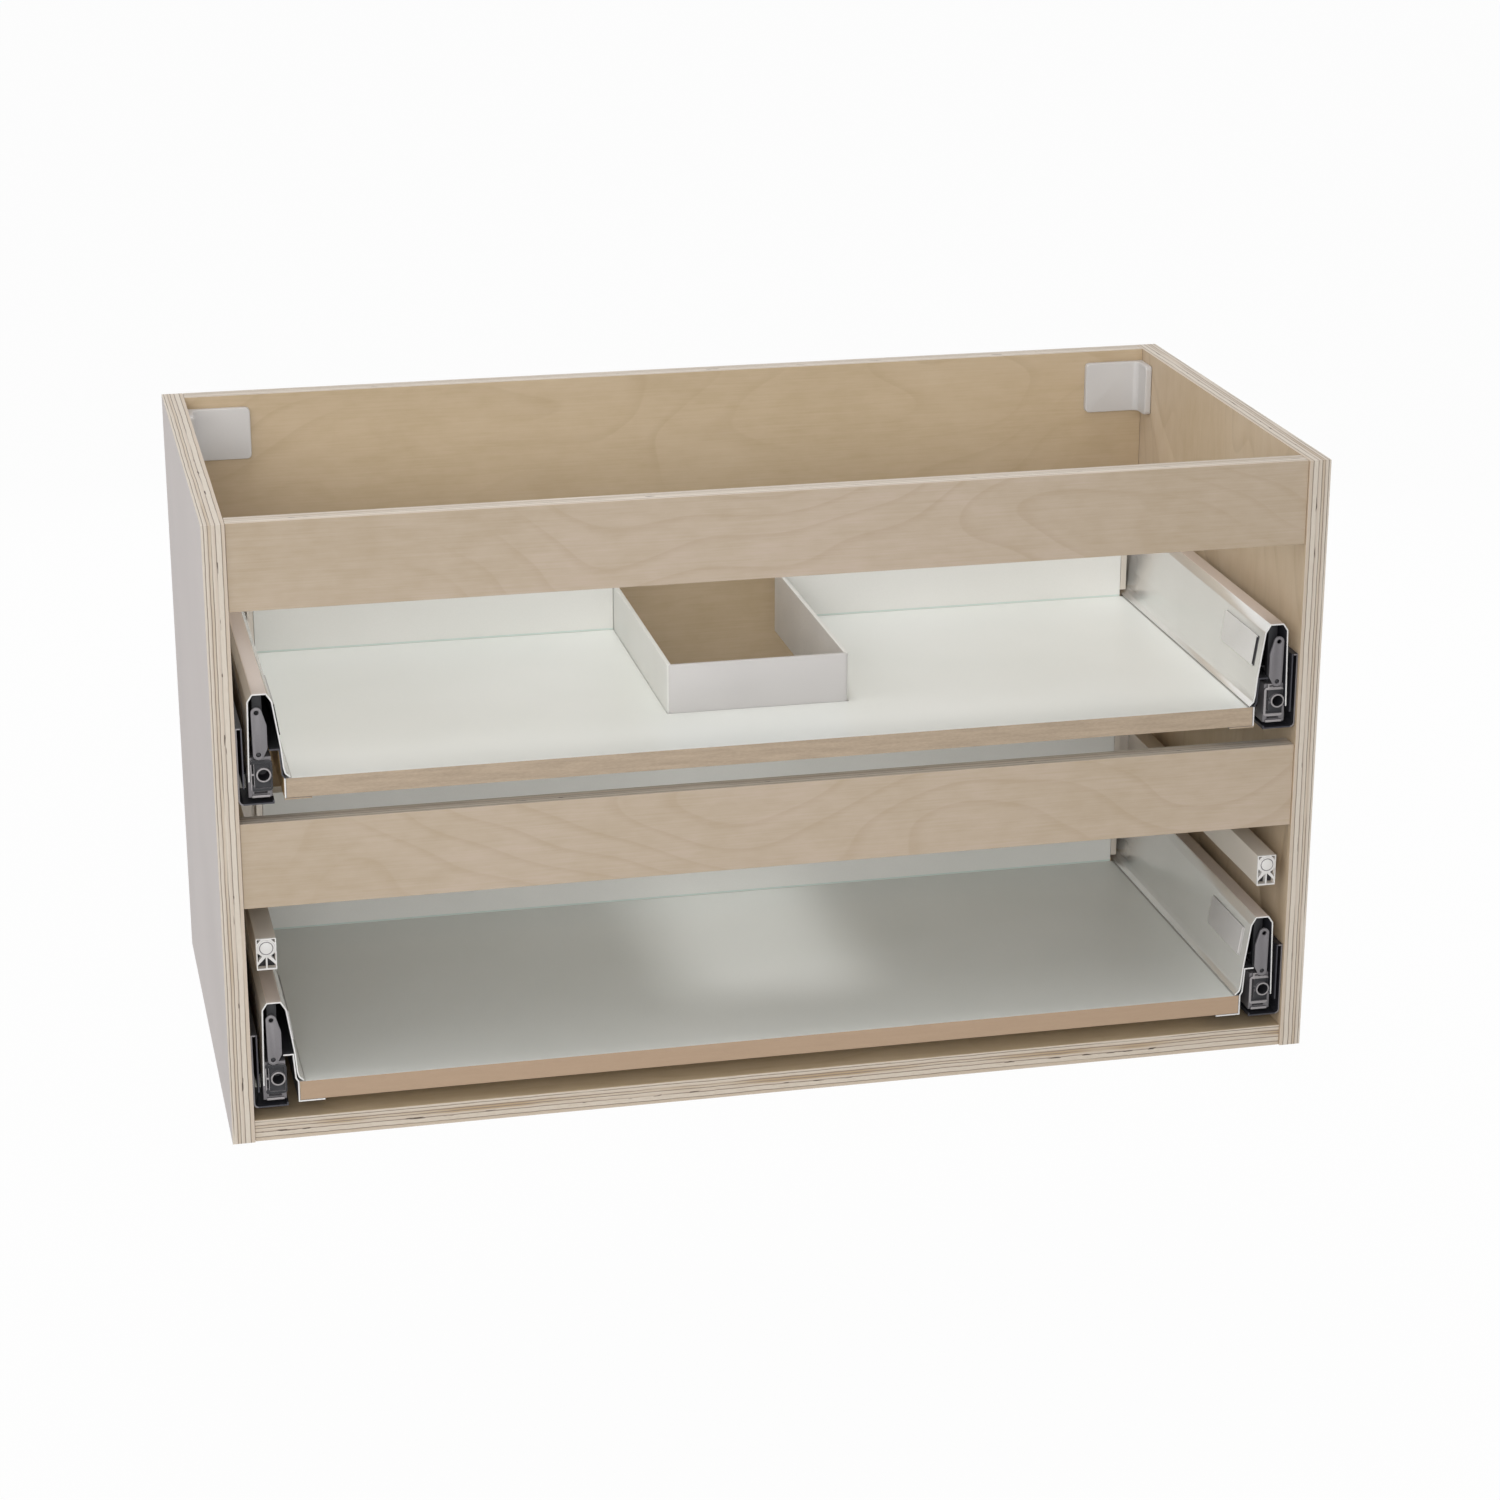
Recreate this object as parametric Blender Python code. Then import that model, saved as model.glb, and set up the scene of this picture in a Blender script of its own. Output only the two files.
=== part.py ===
"""A wall-hung drawer cabinet for a basin: a plywood carcass with two metal-sided drawers.

Lengths are in metres. +X is to the right, +Y runs towards the wall and +Z is up.
The origin is the centre of the back panel's rear face, where the cabinet meets the wall.
Inside the functions y counts from the carcass's front edge and z from its underside,
or, on a drawer, from the underside of the drawer's floor board. An inset is a distance
from the inner face of the left or right side panel, so one number serves both sides.
"""
import math

import bmesh
import bpy
from mathutils import Vector

LEFT = -1
RIGHT = 1
SIDES = ((LEFT, "left"), (RIGHT, "right"))

# Fits
GAP = 0.0003
OVERRUN = 0.002

# Double-walled metal drawer side, folded from one sheet
SHEET = 0.0012
FLOOR_THICKNESS = 0.016
FLOOR_INSET = 0.0375
SIDE_CLEAR = 0.0085
SIDE_LIP_OVERLAP = 0.0038
SIDE_WIDTH = FLOOR_INSET + SIDE_LIP_OVERLAP - SIDE_CLEAR
SIDE_FOOT = 0.015
SIDE_RISE = 0.071
SIDE_TOP = SIDE_FOOT + SIDE_RISE
SIDE_LIP_LIFT = 0.0013
SIDE_PROFILE_SHARES = (
    (0.0, 0.0), (0.046, 0.915), (0.168, 1.0), (0.518, 1.0), (0.649, 0.901),
    (0.814, 0.380), (0.860, 0.141), (0.893, 0.077),
)

# Runner screwed to the side panel
RUNNER_FRONT = 0.0035
RUNNER_LENGTH = 0.3485
RUNNER_REAR = RUNNER_FRONT + RUNNER_LENGTH
RUNNER_BAND = 0.0052
RUNNER_TOP = 0.059
RUNNER_FOOT_DROP = 0.004
RUNNER_LIP_HEIGHT = 0.0108
RUNNER_LIP_INSET = 0.012
RUNNER_EDGE = 0.003
RUNNER_CORNER = 0.004

# Drawer boards
FLOOR_FRONT = 0.003
FLOOR_SHORTER = 0.0225
FLOOR_DEPTH = RUNNER_LENGTH - FLOOR_SHORTER
BACK_STEP = 0.006
BACK_INSET = FLOOR_INSET + BACK_STEP
BACK_DROP = 0.002
DRAWER_BACK_FRONT = FLOOR_FRONT + FLOOR_DEPTH + GAP
DRAWER_REAR = DRAWER_BACK_FRONT + FLOOR_THICKNESS
UPPER_BACK_HEIGHT = SIDE_TOP - BACK_DROP

# Gallery rail over the lower drawer's sides
GALLERY_INSET = 0.0084
GALLERY_WIDTH = 0.016
GALLERY_SPACE = 0.026
GALLERY_UNDERSIDE = SIDE_TOP + GALLERY_SPACE
GALLERY_HEIGHT = 0.0265
GALLERY_FRONT = 0.008
GALLERY_WALL = 0.0012
GALLERY_SUNK = 0.0055
LOWER_BACK_HEIGHT = GALLERY_UNDERSIDE + GALLERY_HEIGHT + GALLERY_SUNK
PLUG_FACE = 0.0016
PLUG_DEPTH = 0.012
PLUG_BOSS_RADIUS = 0.0068
PLUG_BOSS_PROUD = 0.0008
SPIGOT_LENGTH = 0.020

# Carcass of 18 mm plywood. Heights stack up from the bottom panel through both drawers,
# and the depth runs from the drawers' rear over the space for pipes to the wall.
WIDTH = 0.900
PANEL = 0.018
SETBACK = 0.002
TOP_RAIL_HEIGHT = 0.0695
MIDDLE_RAIL_HEIGHT = 0.070
LOWER_DRAWER_ROOM = 0.014
LOWER_HEADROOM = 0.023
UPPER_DRAWER_ROOM = 0.019
UPPER_HEADROOM = 0.0685
PIPE_SPACE = 0.0707
LOWER_DRAWER_LIFT = PANEL + LOWER_DRAWER_ROOM
MIDDLE_RAIL_LIFT = LOWER_DRAWER_LIFT + LOWER_BACK_HEIGHT + LOWER_HEADROOM
UPPER_DRAWER_LIFT = MIDDLE_RAIL_LIFT + MIDDLE_RAIL_HEIGHT + UPPER_DRAWER_ROOM
TOP_RAIL_LIFT = UPPER_DRAWER_LIFT + UPPER_BACK_HEIGHT + UPPER_HEADROOM
HEIGHT = TOP_RAIL_LIFT + TOP_RAIL_HEIGHT
BACK_FACE = DRAWER_REAR + PIPE_SPACE
DEPTH = BACK_FACE + PANEL
INNER_WIDTH = WIDTH - 2 * PANEL

# Dowels glued in the ends of the boards that stand between the side panels
WOOD_LEFT = 0.006
DOWEL_RADIUS = 0.004
DOWEL_REACH = PANEL - WOOD_LEFT
BOTTOM_DOWEL_SHARES = (0.12, 0.5, 0.88)
RAIL_DOWEL_SHARES = (0.27, 0.73)
BACK_DOWEL_SHARES = (0.08, 0.33, 0.58, 0.83)

# Recess round the basin's siphon, in the upper drawer
RECESS_WIDTH = 0.152
RECESS_FRONT = 0.092
RECESS_HEIGHT = 0.057
RECESS_WALL = 0.0037
RECESS_CORNER = 0.004
CORNER_STEPS = 4

# Rear bracket: tongue in the drawer side, plate behind the drawer's back
BRACKET_SHEET = 0.0012
BRACKET_CLEARANCE = 0.0008
TONGUE_INSET = SIDE_CLEAR + SIDE_WIDTH * SIDE_PROFILE_SHARES[1][0] + SHEET + BRACKET_CLEARANCE
TONGUE_LENGTH = 0.055
TONGUE_LIFT = 0.006
TONGUE_UNDERSIDE = FLOOR_THICKNESS + TONGUE_LIFT
TONGUE_TOP_DROP = 0.007
REAR_PLATE_REACH = 0.0165
STRIP_CLEARANCE = 0.0002
REAR_STRIP_INSET = SIDE_CLEAR + SIDE_WIDTH * SIDE_PROFILE_SHARES[7][0] + STRIP_CLEARANCE
REAR_SCREW_SHARES = (0.2, 0.8)

# Floor carrier: the folded sheet inside the drawer side that holds the floor board
CARRIER_FLANGE = 0.020
CARRIER_CLEARANCE = 0.0002
CARRIER_STEP_RISE = 0.0032
CARRIER_TOP_DROP = 0.0014
CARRIER_TOP = SIDE_FOOT + SIDE_RISE * SIDE_PROFILE_SHARES[5][1] - CARRIER_TOP_DROP
CARRIER_TRACK_SPACE = 0.0013
CARRIER_TRACK_INSET = TONGUE_INSET + BRACKET_SHEET + CARRIER_TRACK_SPACE
CARRIER_TRACK_DROP = 0.0073
CARRIER_TRACK_LIP = 0.0037

# Front bracket: the block, its arm and the pivoted lock lever
BLOCK_CLEARANCE = 0.0008
BLOCK_INSET = SIDE_CLEAR + SHEET + BLOCK_CLEARANCE
BLOCK_FOOT_RETURN = 0.0002
BLOCK_WIDTH = 0.0172
BLOCK_UNDERSIDE = 0.001
BLOCK_HEIGHT = 0.0325
BLOCK_TOP = BLOCK_UNDERSIDE + BLOCK_HEIGHT
BLOCK_FRONT = 0.006
BLOCK_DEPTH = 0.028
BLOCK_REAR = BLOCK_FRONT + BLOCK_DEPTH
SOCKET_OFFSET = 0.0078
SOCKET_INSET = BLOCK_INSET + SOCKET_OFFSET
SOCKET_SHIFT = 0.0024
SOCKET_LIFT = 0.0185
SOCKET_HEIGHT = BLOCK_UNDERSIDE + SOCKET_LIFT
SOCKET_RADIUS = 0.0043
SOCKET_RING = 0.0057
SOCKET_PROUD = 0.0022
SOCKET_DEPTH = 0.014
SLOT_WIDTH = 0.0016
SLOT_HEIGHT = 0.016
SLOT_DEPTH = 0.004
ARM_OFFSET = 0.0043
ARM_INSET = BLOCK_INSET + ARM_OFFSET
ARM_WIDTH = 0.0075
ARM_SETBACK = 0.002
ARM_FRONT = BLOCK_FRONT + ARM_SETBACK
ARM_DEPTH = 0.005
LEVER_THICKNESS = 0.0022
LEVER_FRONT = BLOCK_FRONT - GAP - LEVER_THICKNESS
LEVER_PIVOT_OFFSET = 0.007
LEVER_PIVOT_INSET = BLOCK_INSET + LEVER_PIVOT_OFFSET
LEVER_PIVOT_LIFT = 0.003
LEVER_PIVOT_HEIGHT = BLOCK_TOP + LEVER_PIVOT_LIFT
LEVER_EYE_OFFSET = 0.0004
LEVER_EYE_INSET = LEVER_PIVOT_INSET - LEVER_EYE_OFFSET
LEVER_EYE_DROP = 0.0155
LEVER_EYE_HEIGHT = SIDE_TOP - LEVER_EYE_DROP
LEVER_END_RADIUS = 0.0043
LEVER_BULGE = 0.0028
LEVER_BULGE_SHARES = (0.16, 0.68)
LEVER_HOLE_RADIUS = 0.0019
LEVER_ROOM = 0.0008
PIVOT_RADIUS = 0.0014
ROUND_SIDES = 16

# Carriage that runs between the runner and the drawer
CARRIAGE_SPACE = 0.006
CARRIAGE_FRONT = BLOCK_REAR + CARRIAGE_SPACE
CARRIAGE_SHORTER = 0.0485
CARRIAGE_LENGTH = RUNNER_LENGTH - CARRIAGE_SHORTER
CARRIAGE_CLEARANCE = 0.0006
CARRIAGE_OUTER_INSET = RUNNER_LIP_INSET + CARRIAGE_CLEARANCE
CLIP_OUTER = CARRIER_TRACK_INSET + SHEET + GAP
CARRIAGE_TRACK_WIDTH = 0.0092
CARRIAGE_INNER_INSET = CLIP_OUTER + CARRIAGE_TRACK_WIDTH
CARRIAGE_FLANGE = CARRIAGE_TRACK_WIDTH - CARRIAGE_CLEARANCE
CARRIAGE_UNDERSIDE = 0.0012
CARRIAGE_TOP_DROP = 0.0026
CARRIAGE_LEG = 0.006
LOWER_GLIDE_LENGTH = 0.040
UPPER_GLIDE_LENGTH = 0.030
UPPER_GLIDE_WIDTH = 0.004
TRACK_LEAD = 0.002
TRACK_START = CARRIAGE_FRONT - TRACK_LEAD
FOOT_MARGIN = 0.0028
RUNNER_FOOT_INSET = CARRIAGE_INNER_INSET + FOOT_MARGIN

# Roller at the front of each carriage, under the drawer's floor carrier
ROLLER_RADIUS = 0.006
ROLLER_WIDTH = 0.005
ROLLER_SETBACK = 0.008
ROLLER_ROOM = 0.0015
AXLE_RADIUS = 0.0015
AXLE_CLEARANCE = 0.0004

# Screws that hold the runners
SCREW_SIDES = 8
SCREW_SHANK_RADIUS = 0.0018
SCREW_HOLE_RADIUS = SCREW_SHANK_RADIUS + GAP
SCREW_DEPTH = PANEL - WOOD_LEFT
RUNNER_SCREW_HEIGHT = 0.035
RUNNER_SCREW_FIRST = 0.037
RUNNER_SCREW_PITCH = 0.128
RUNNER_SCREW_MARGIN = 0.020
RUNNER_HEAD_RADIUS = 0.0032
RUNNER_HEAD_THICKNESS = 0.0014
DRIVER_HOLE_RADIUS = 0.0044

# Cover cap on the inner slope of the drawer side
CAP_FRONT = 0.013
CAP_LENGTH = 0.077
CAP_THICKNESS = 0.001
CAP_SLOPE_SHARES = (0.16, 0.84)

# Screws of the drawers
BOARD_LEFT = 0.004
DRAWER_SCREW_LENGTH = FLOOR_THICKNESS - BOARD_LEFT
FLOOR_SCREW_SHARES = (0.12, 0.5, 0.88)
DRAWER_HEAD_RADIUS = 0.0034
DRAWER_HEAD_THICKNESS = 0.0014

# Cabinet hangers: a cover, a steel housing and a hook on each side
COVER_HEIGHT = 0.045
COVER_DROP = 0.010
COVER_UNDERSIDE = HEIGHT - COVER_DROP - COVER_HEIGHT
COVER_REACH = 0.028
COVER_DEPTH = 0.006
COVER_WALL = 0.0016
COVER_BEND = 0.005
COVER_CORNER = 0.004
HOUSING_SHEET = 0.002
HOUSING_MARGIN = 0.0022
WINDOW_INSET = 0.010
WINDOW_WIDTH = 0.032
WINDOW_MARGIN = 0.0055
CHANNEL_LIP = 0.0035
CHANNEL_MARGIN = 0.003
CHANNEL_PLAY = 0.0017
HOOK_SHEET = 0.004
HOOK_MARGIN = 0.0055
HOOK_NOSE_WIDTH = 0.016
HOOK_RECESS = 0.006
HOOK_REACH = PANEL - HOOK_RECESS
HOOK_NOSE_DROP = 0.012
CHANNEL_DEPTH = GAP + HOOK_SHEET + CHANNEL_PLAY + HOUSING_SHEET
HANGER_SCREW_SHARES = (0.26, 0.74)
HANGER_SCREW_MARGIN = 0.0045
HANGER_SCREW_INSET = WINDOW_INSET + WINDOW_WIDTH + HANGER_SCREW_MARGIN
COVER_MARGIN = 0.0085
COVER_WIDTH = HANGER_SCREW_INSET + COVER_MARGIN
HANGER_SIDE_SCREW_SHARE = 0.5
HANGER_HEAD_RADIUS = 0.003
HANGER_HEAD_THICKNESS = 0.001


def linear(red, green, blue):
    """Base colour of a surface whose 8-bit screen colour is given."""
    channels = []
    for value in (red, green, blue):
        share = value / 255
        low = share / 12.92
        high = ((share + 0.055) / 1.055) ** 2.4
        channels.append(low if share <= 0.04045 else high)
    return (*channels, 1.0)


def finish(name, colour, roughness, metallic=0.0):
    """A Principled material."""
    material = bpy.data.materials.new(name)
    material.use_nodes = True
    shader = material.node_tree.nodes["Principled BSDF"]
    shader.inputs["Base Color"].default_value = colour
    shader.inputs["Roughness"].default_value = roughness
    shader.inputs["Metallic"].default_value = metallic
    material.diffuse_color = colour
    return material


def clear_scene():
    """Removes every object and mesh that the file holds."""
    for item in list(bpy.data.objects):
        bpy.data.objects.remove(item, do_unlink=True)
    for mesh in list(bpy.data.meshes):
        bpy.data.meshes.remove(mesh)


def empty(name, location, parent=None):
    """A frame that objects are parented to."""
    frame = bpy.data.objects.new(name, None)
    frame.empty_display_size = PANEL
    frame.location = location
    frame.parent = parent
    bpy.context.scene.collection.objects.link(frame)
    return frame


def make(name, bm, material, parent, origin=(0, 0, 0), smooth=False):
    """An object from a mesh drawn in its parent's frame, with its own origin."""
    bmesh.ops.recalc_face_normals(bm, faces=bm.faces)
    bmesh.ops.translate(bm, vec=-Vector(origin), verts=bm.verts)
    mesh = bpy.data.meshes.new(name)
    bm.to_mesh(mesh)
    bm.free()
    if smooth:
        mesh.shade_smooth()
        mesh.set_sharp_from_angle(angle=math.radians(30))
    mesh.materials.append(material)
    item = bpy.data.objects.new(name, mesh)
    item.location = origin
    item.parent = parent
    bpy.context.scene.collection.objects.link(item)
    return item


def combine(item, tool_mesh, operation):
    """Cuts or joins an object with a tool mesh drawn in the object's parent's frame."""
    label = f"{item.name}_{operation.lower()}"
    tool = make(label, tool_mesh, item.data.materials[0], item.parent)
    tool.display_type = "WIRE"
    tool.hide_render = True
    modifier = item.modifiers.new(operation.title(), "BOOLEAN")
    modifier.operation = operation
    modifier.solver = "EXACT"
    modifier.object = tool


def prism(outline, axis, start, end, bm=None):
    """Extrudes an outline along X, Y or Z between two places on that axis."""
    bm = bm or bmesh.new()
    if axis == "X":
        points = [(start, u, v) for u, v in outline]
        step = (end - start, 0, 0)
    elif axis == "Y":
        points = [(u, start, v) for u, v in outline]
        step = (0, end - start, 0)
    else:
        points = [(u, v, start) for u, v in outline]
        step = (0, 0, end - start)
    face = bm.faces.new([bm.verts.new(point) for point in points])
    extruded = bmesh.ops.extrude_face_region(bm, geom=[face], use_keep_orig=True)
    moved = [part for part in extruded["geom"] if isinstance(part, bmesh.types.BMVert)]
    bmesh.ops.translate(bm, vec=step, verts=moved)
    return bm


def box(low, high, bm=None):
    """A box between two opposite corners, given in any order."""
    outline = [(low[0], low[1]), (high[0], low[1]), (high[0], high[1]), (low[0], high[1])]
    return prism(outline, "Z", low[2], high[2], bm)


def circle(centre, radius, sides):
    """Points round a circle, with a flat side up."""
    turn = 2 * math.pi / sides
    points = []
    for index in range(sides):
        angle = (index + 0.5) * turn
        points.append((centre[0] + radius * math.cos(angle), centre[1] + radius * math.sin(angle)))
    return points


def hull(points):
    """The convex outline round a cloud of points, anticlockwise."""
    ordered = sorted(set(points))
    chains = []
    for cloud in (ordered, ordered[::-1]):
        chain = []
        for point in cloud:
            while len(chain) > 1 and turn_of(chain[-2], chain[-1], point) <= 0:
                chain.pop()
            chain.append(point)
        chains.append(chain[:-1])
    return chains[0] + chains[1]


def turn_of(first, second, third):
    """Positive where three points turn to the left."""
    ahead = (second[0] - first[0]) * (third[1] - first[1])
    across = (second[1] - first[1]) * (third[0] - first[0])
    return ahead - across


def sheet(path, thickness):
    """Closed outline of a folded sheet: a path and its copy, offset to the path's left."""
    normals = []
    for start, end in zip(path, path[1:]):
        run = Vector((end[0] - start[0], end[1] - start[1])).normalized()
        normals.append(Vector((-run.y, run.x)))
    inner = []
    for index, point in enumerate(path):
        before = normals[max(index - 1, 0)]
        after = normals[min(index, len(normals) - 1)]
        bisector = (before + after) / (1 + before.dot(after))
        shifted = Vector(point) + bisector * thickness
        inner.append((shifted.x, shifted.y))
    return list(path) + inner[::-1]


def fillet(points, index, radius, steps=CORNER_STEPS):
    """The same points, with an arc in place of the corner at an index."""
    corner = Vector(points[index])
    back = (Vector(points[index - 1]) - corner).normalized()
    ahead = (Vector(points[(index + 1) % len(points)]) - corner).normalized()
    half = back.angle(ahead) / 2
    centre = corner + (back + ahead).normalized() * (radius / math.sin(half))
    start = corner + back * (radius / math.tan(half)) - centre
    sweep = start.angle_signed(corner + ahead * (radius / math.tan(half)) - centre)
    arc = []
    for step in range(steps + 1):
        angle = -sweep * step / steps
        spoke = Vector((
            start.x * math.cos(angle) - start.y * math.sin(angle),
            start.x * math.sin(angle) + start.y * math.cos(angle),
        ))
        arc.append(tuple(centre + spoke))
    return points[:index] + arc + points[index + 1:]


def wall_x(side, inset):
    """x of a point that lies inset from a side panel's inner face."""
    return side * (INNER_WIDTH / 2 - inset)


def on_side(side, points):
    """Section points, given as inset and height, on the left or the right."""
    return [(wall_x(side, inset), height) for inset, height in points]


def screw(axis, centre, seat, into, length, head_radius, head_thickness, bm):
    """A pan-head screw through a sheet: the head stands on a seat, the shank goes in along +1 or -1."""
    rings = []
    head = circle((0, 0), head_radius, SCREW_SIDES)
    shank = circle((0, 0), SCREW_SHANK_RADIUS, SCREW_SIDES)
    under_head = seat + into * SHEET / 2
    for outline, place in (
        (head, seat - into * head_thickness), (head, under_head),
        (shank, under_head), (shank, seat + into * length),
    ):
        ring = []
        for u, v in outline:
            across = (centre[0] + u, centre[1] + v)
            ring.append(bm.verts.new(on_axis(axis, across, place)))
        rings.append(ring)
    for ring, following in zip(rings, rings[1:]):
        for index in range(SCREW_SIDES):
            after = (index + 1) % SCREW_SIDES
            bm.faces.new((ring[index], ring[after], following[after], following[index]))
    bm.faces.new(rings[0])
    bm.faces.new(rings[-1])


def on_axis(axis, across, place):
    """A point from its place on an axis and its two other coordinates, in X, Y, Z order."""
    if axis == "X":
        return (place, *across)
    if axis == "Y":
        return (across[0], place, across[1])
    return (*across, place)


def drill(axis, centre, start, end, radius, bm):
    """A hole's cutter for a screw or dowel, with the same number of sides."""
    prism(circle(centre, radius, SCREW_SIDES), axis, start, end, bm)


class Finishes:
    """The materials of the cabinet."""

    def __init__(self):
        self.plywood = finish("birch_plywood", linear(188, 170, 148), 0.55)
        self.outer = finish("grey_laminate", linear(198, 188, 184), 0.45)
        self.board = finish("white_board", linear(222, 223, 218), 0.4)
        self.white_plastic = finish("white_plastic", linear(215, 213, 213), 0.4)
        self.painted_steel = finish("light_painted_steel", linear(212, 208, 204), 0.4, 0.2)
        self.cap_plastic = finish("cap_plastic", linear(206, 203, 200), 0.4)
        self.dark_steel = finish("dark_runner_steel", linear(78, 78, 82), 0.45, 0.6)
        self.bracket = finish("grey_bracket", linear(118, 115, 117), 0.5, 0.3)
        self.zinc = finish("zinc_plated_steel", linear(170, 170, 172), 0.35, 0.9)
        self.nylon = finish("pale_nylon", linear(226, 224, 216), 0.5)
        self.gallery = finish("light_aluminium", linear(196, 196, 196), 0.35, 0.3)


def dowel_places():
    """Centres (y, z) of the dowels for each piece that stands between the side panels."""
    bottom_depth = BACK_FACE - SETBACK
    rail_y = SETBACK + PANEL / 2
    return {
        "bottom": [(SETBACK + bottom_depth * s, PANEL / 2) for s in BOTTOM_DOWEL_SHARES],
        "top_rail": [(rail_y, TOP_RAIL_LIFT + TOP_RAIL_HEIGHT * s) for s in RAIL_DOWEL_SHARES],
        "middle_rail": [
            (rail_y, MIDDLE_RAIL_LIFT + MIDDLE_RAIL_HEIGHT * s) for s in RAIL_DOWEL_SHARES
        ],
        "back": [(BACK_FACE + PANEL / 2, HEIGHT * s) for s in BACK_DOWEL_SHARES],
    }


def runner_screw_places(lift):
    """Centres (y, z) of the screws that hold a runner, at a height."""
    span = RUNNER_REAR - RUNNER_SCREW_MARGIN - RUNNER_SCREW_FIRST
    count = 1 + math.floor(span / RUNNER_SCREW_PITCH)
    return [(RUNNER_SCREW_FIRST + index * RUNNER_SCREW_PITCH, lift) for index in range(count)]


def hanger_screw_heights():
    """Heights of the two screws in each hanger flange."""
    return [COVER_UNDERSIDE + COVER_HEIGHT * share for share in HANGER_SCREW_SHARES]


def dowels(side, places, radius, bm):
    """Dowels of a radius across the joint with one side panel, or the holes for them."""
    start = wall_x(side, OVERRUN)
    reach = DOWEL_REACH + (radius - DOWEL_RADIUS)
    for centre in places:
        drill("X", centre, start, wall_x(side, -reach), radius, bm)
    return bm


def side_panel(side, label, carcass, finishes):
    """One full-height side panel, with its blind dowel holes and screw holes."""
    outer = side * WIDTH / 2
    inner = wall_x(side, 0)
    origin = (side * (WIDTH - PANEL) / 2, DEPTH / 2, HEIGHT / 2)
    panel = box((outer, 0, 0), (inner, DEPTH, HEIGHT))
    item = make(f"{label}_side_panel", panel, finishes.outer, carcass, origin)
    places = [centre for group in dowel_places().values() for centre in group]
    holes = dowels(side, places, DOWEL_RADIUS + GAP, bmesh.new())
    end = inner + side * (SCREW_DEPTH + GAP)
    screws = runner_screw_places(LOWER_DRAWER_LIFT + RUNNER_SCREW_HEIGHT)
    screws += runner_screw_places(UPPER_DRAWER_LIFT + RUNNER_SCREW_HEIGHT)
    for height in hanger_screw_heights():
        screws.append((BACK_FACE - COVER_REACH * HANGER_SIDE_SCREW_SHARE, height))
    for centre in screws:
        drill("X", centre, inner - side * OVERRUN, end, SCREW_HOLE_RADIUS, holes)
    combine(item, holes, "DIFFERENCE")


def crosspiece(name, low, high, places, carcass, finishes):
    """A board between the side panels, with its dowels glued in both ends."""
    middle = [(a + b) / 2 for a, b in zip(low, high)]
    item = make(name, box(low, high), finishes.plywood, carcass, middle)
    pins = bmesh.new()
    for side, label in SIDES:
        dowels(side, places, DOWEL_RADIUS, pins)
    combine(item, pins, "UNION")
    return item


def carcass_boards(carcass, finishes):
    """The six plywood boards and the dowels that join them."""
    places = dowel_places()
    half = INNER_WIDTH / 2 - GAP
    for side, label in SIDES:
        side_panel(side, label, carcass, finishes)
    crosspiece(
        "bottom_panel", (-half, SETBACK, 0), (half, BACK_FACE - GAP, PANEL),
        places["bottom"], carcass, finishes,
    )
    rail_back = SETBACK + PANEL
    crosspiece(
        "front_top_rail", (-half, SETBACK, TOP_RAIL_LIFT), (half, rail_back, HEIGHT),
        places["top_rail"], carcass, finishes,
    )
    middle_top = MIDDLE_RAIL_LIFT + MIDDLE_RAIL_HEIGHT
    crosspiece(
        "middle_rail", (-half, SETBACK, MIDDLE_RAIL_LIFT), (half, rail_back, middle_top),
        places["middle_rail"], carcass, finishes,
    )
    back = crosspiece(
        "back_panel", (-half, BACK_FACE, 0), (half, DEPTH, HEIGHT),
        places["back"], carcass, finishes,
    )
    combine(back, back_openings(), "DIFFERENCE")


def back_openings():
    """Cutter for the hook windows and the hanger screw holes of the back panel."""
    bm = bmesh.new()
    low = COVER_UNDERSIDE + WINDOW_MARGIN
    high = COVER_UNDERSIDE + COVER_HEIGHT - WINDOW_MARGIN
    for side, label in SIDES:
        near = wall_x(side, WINDOW_INSET)
        far = wall_x(side, WINDOW_INSET + WINDOW_WIDTH)
        box((near, BACK_FACE - OVERRUN, low), (far, DEPTH + OVERRUN, high), bm)
        for height in hanger_screw_heights():
            centre = (wall_x(side, HANGER_SCREW_INSET), height)
            end = BACK_FACE + SCREW_DEPTH + GAP
            drill("Y", centre, BACK_FACE - OVERRUN, end, SCREW_HOLE_RADIUS, bm)
    return bm


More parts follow.
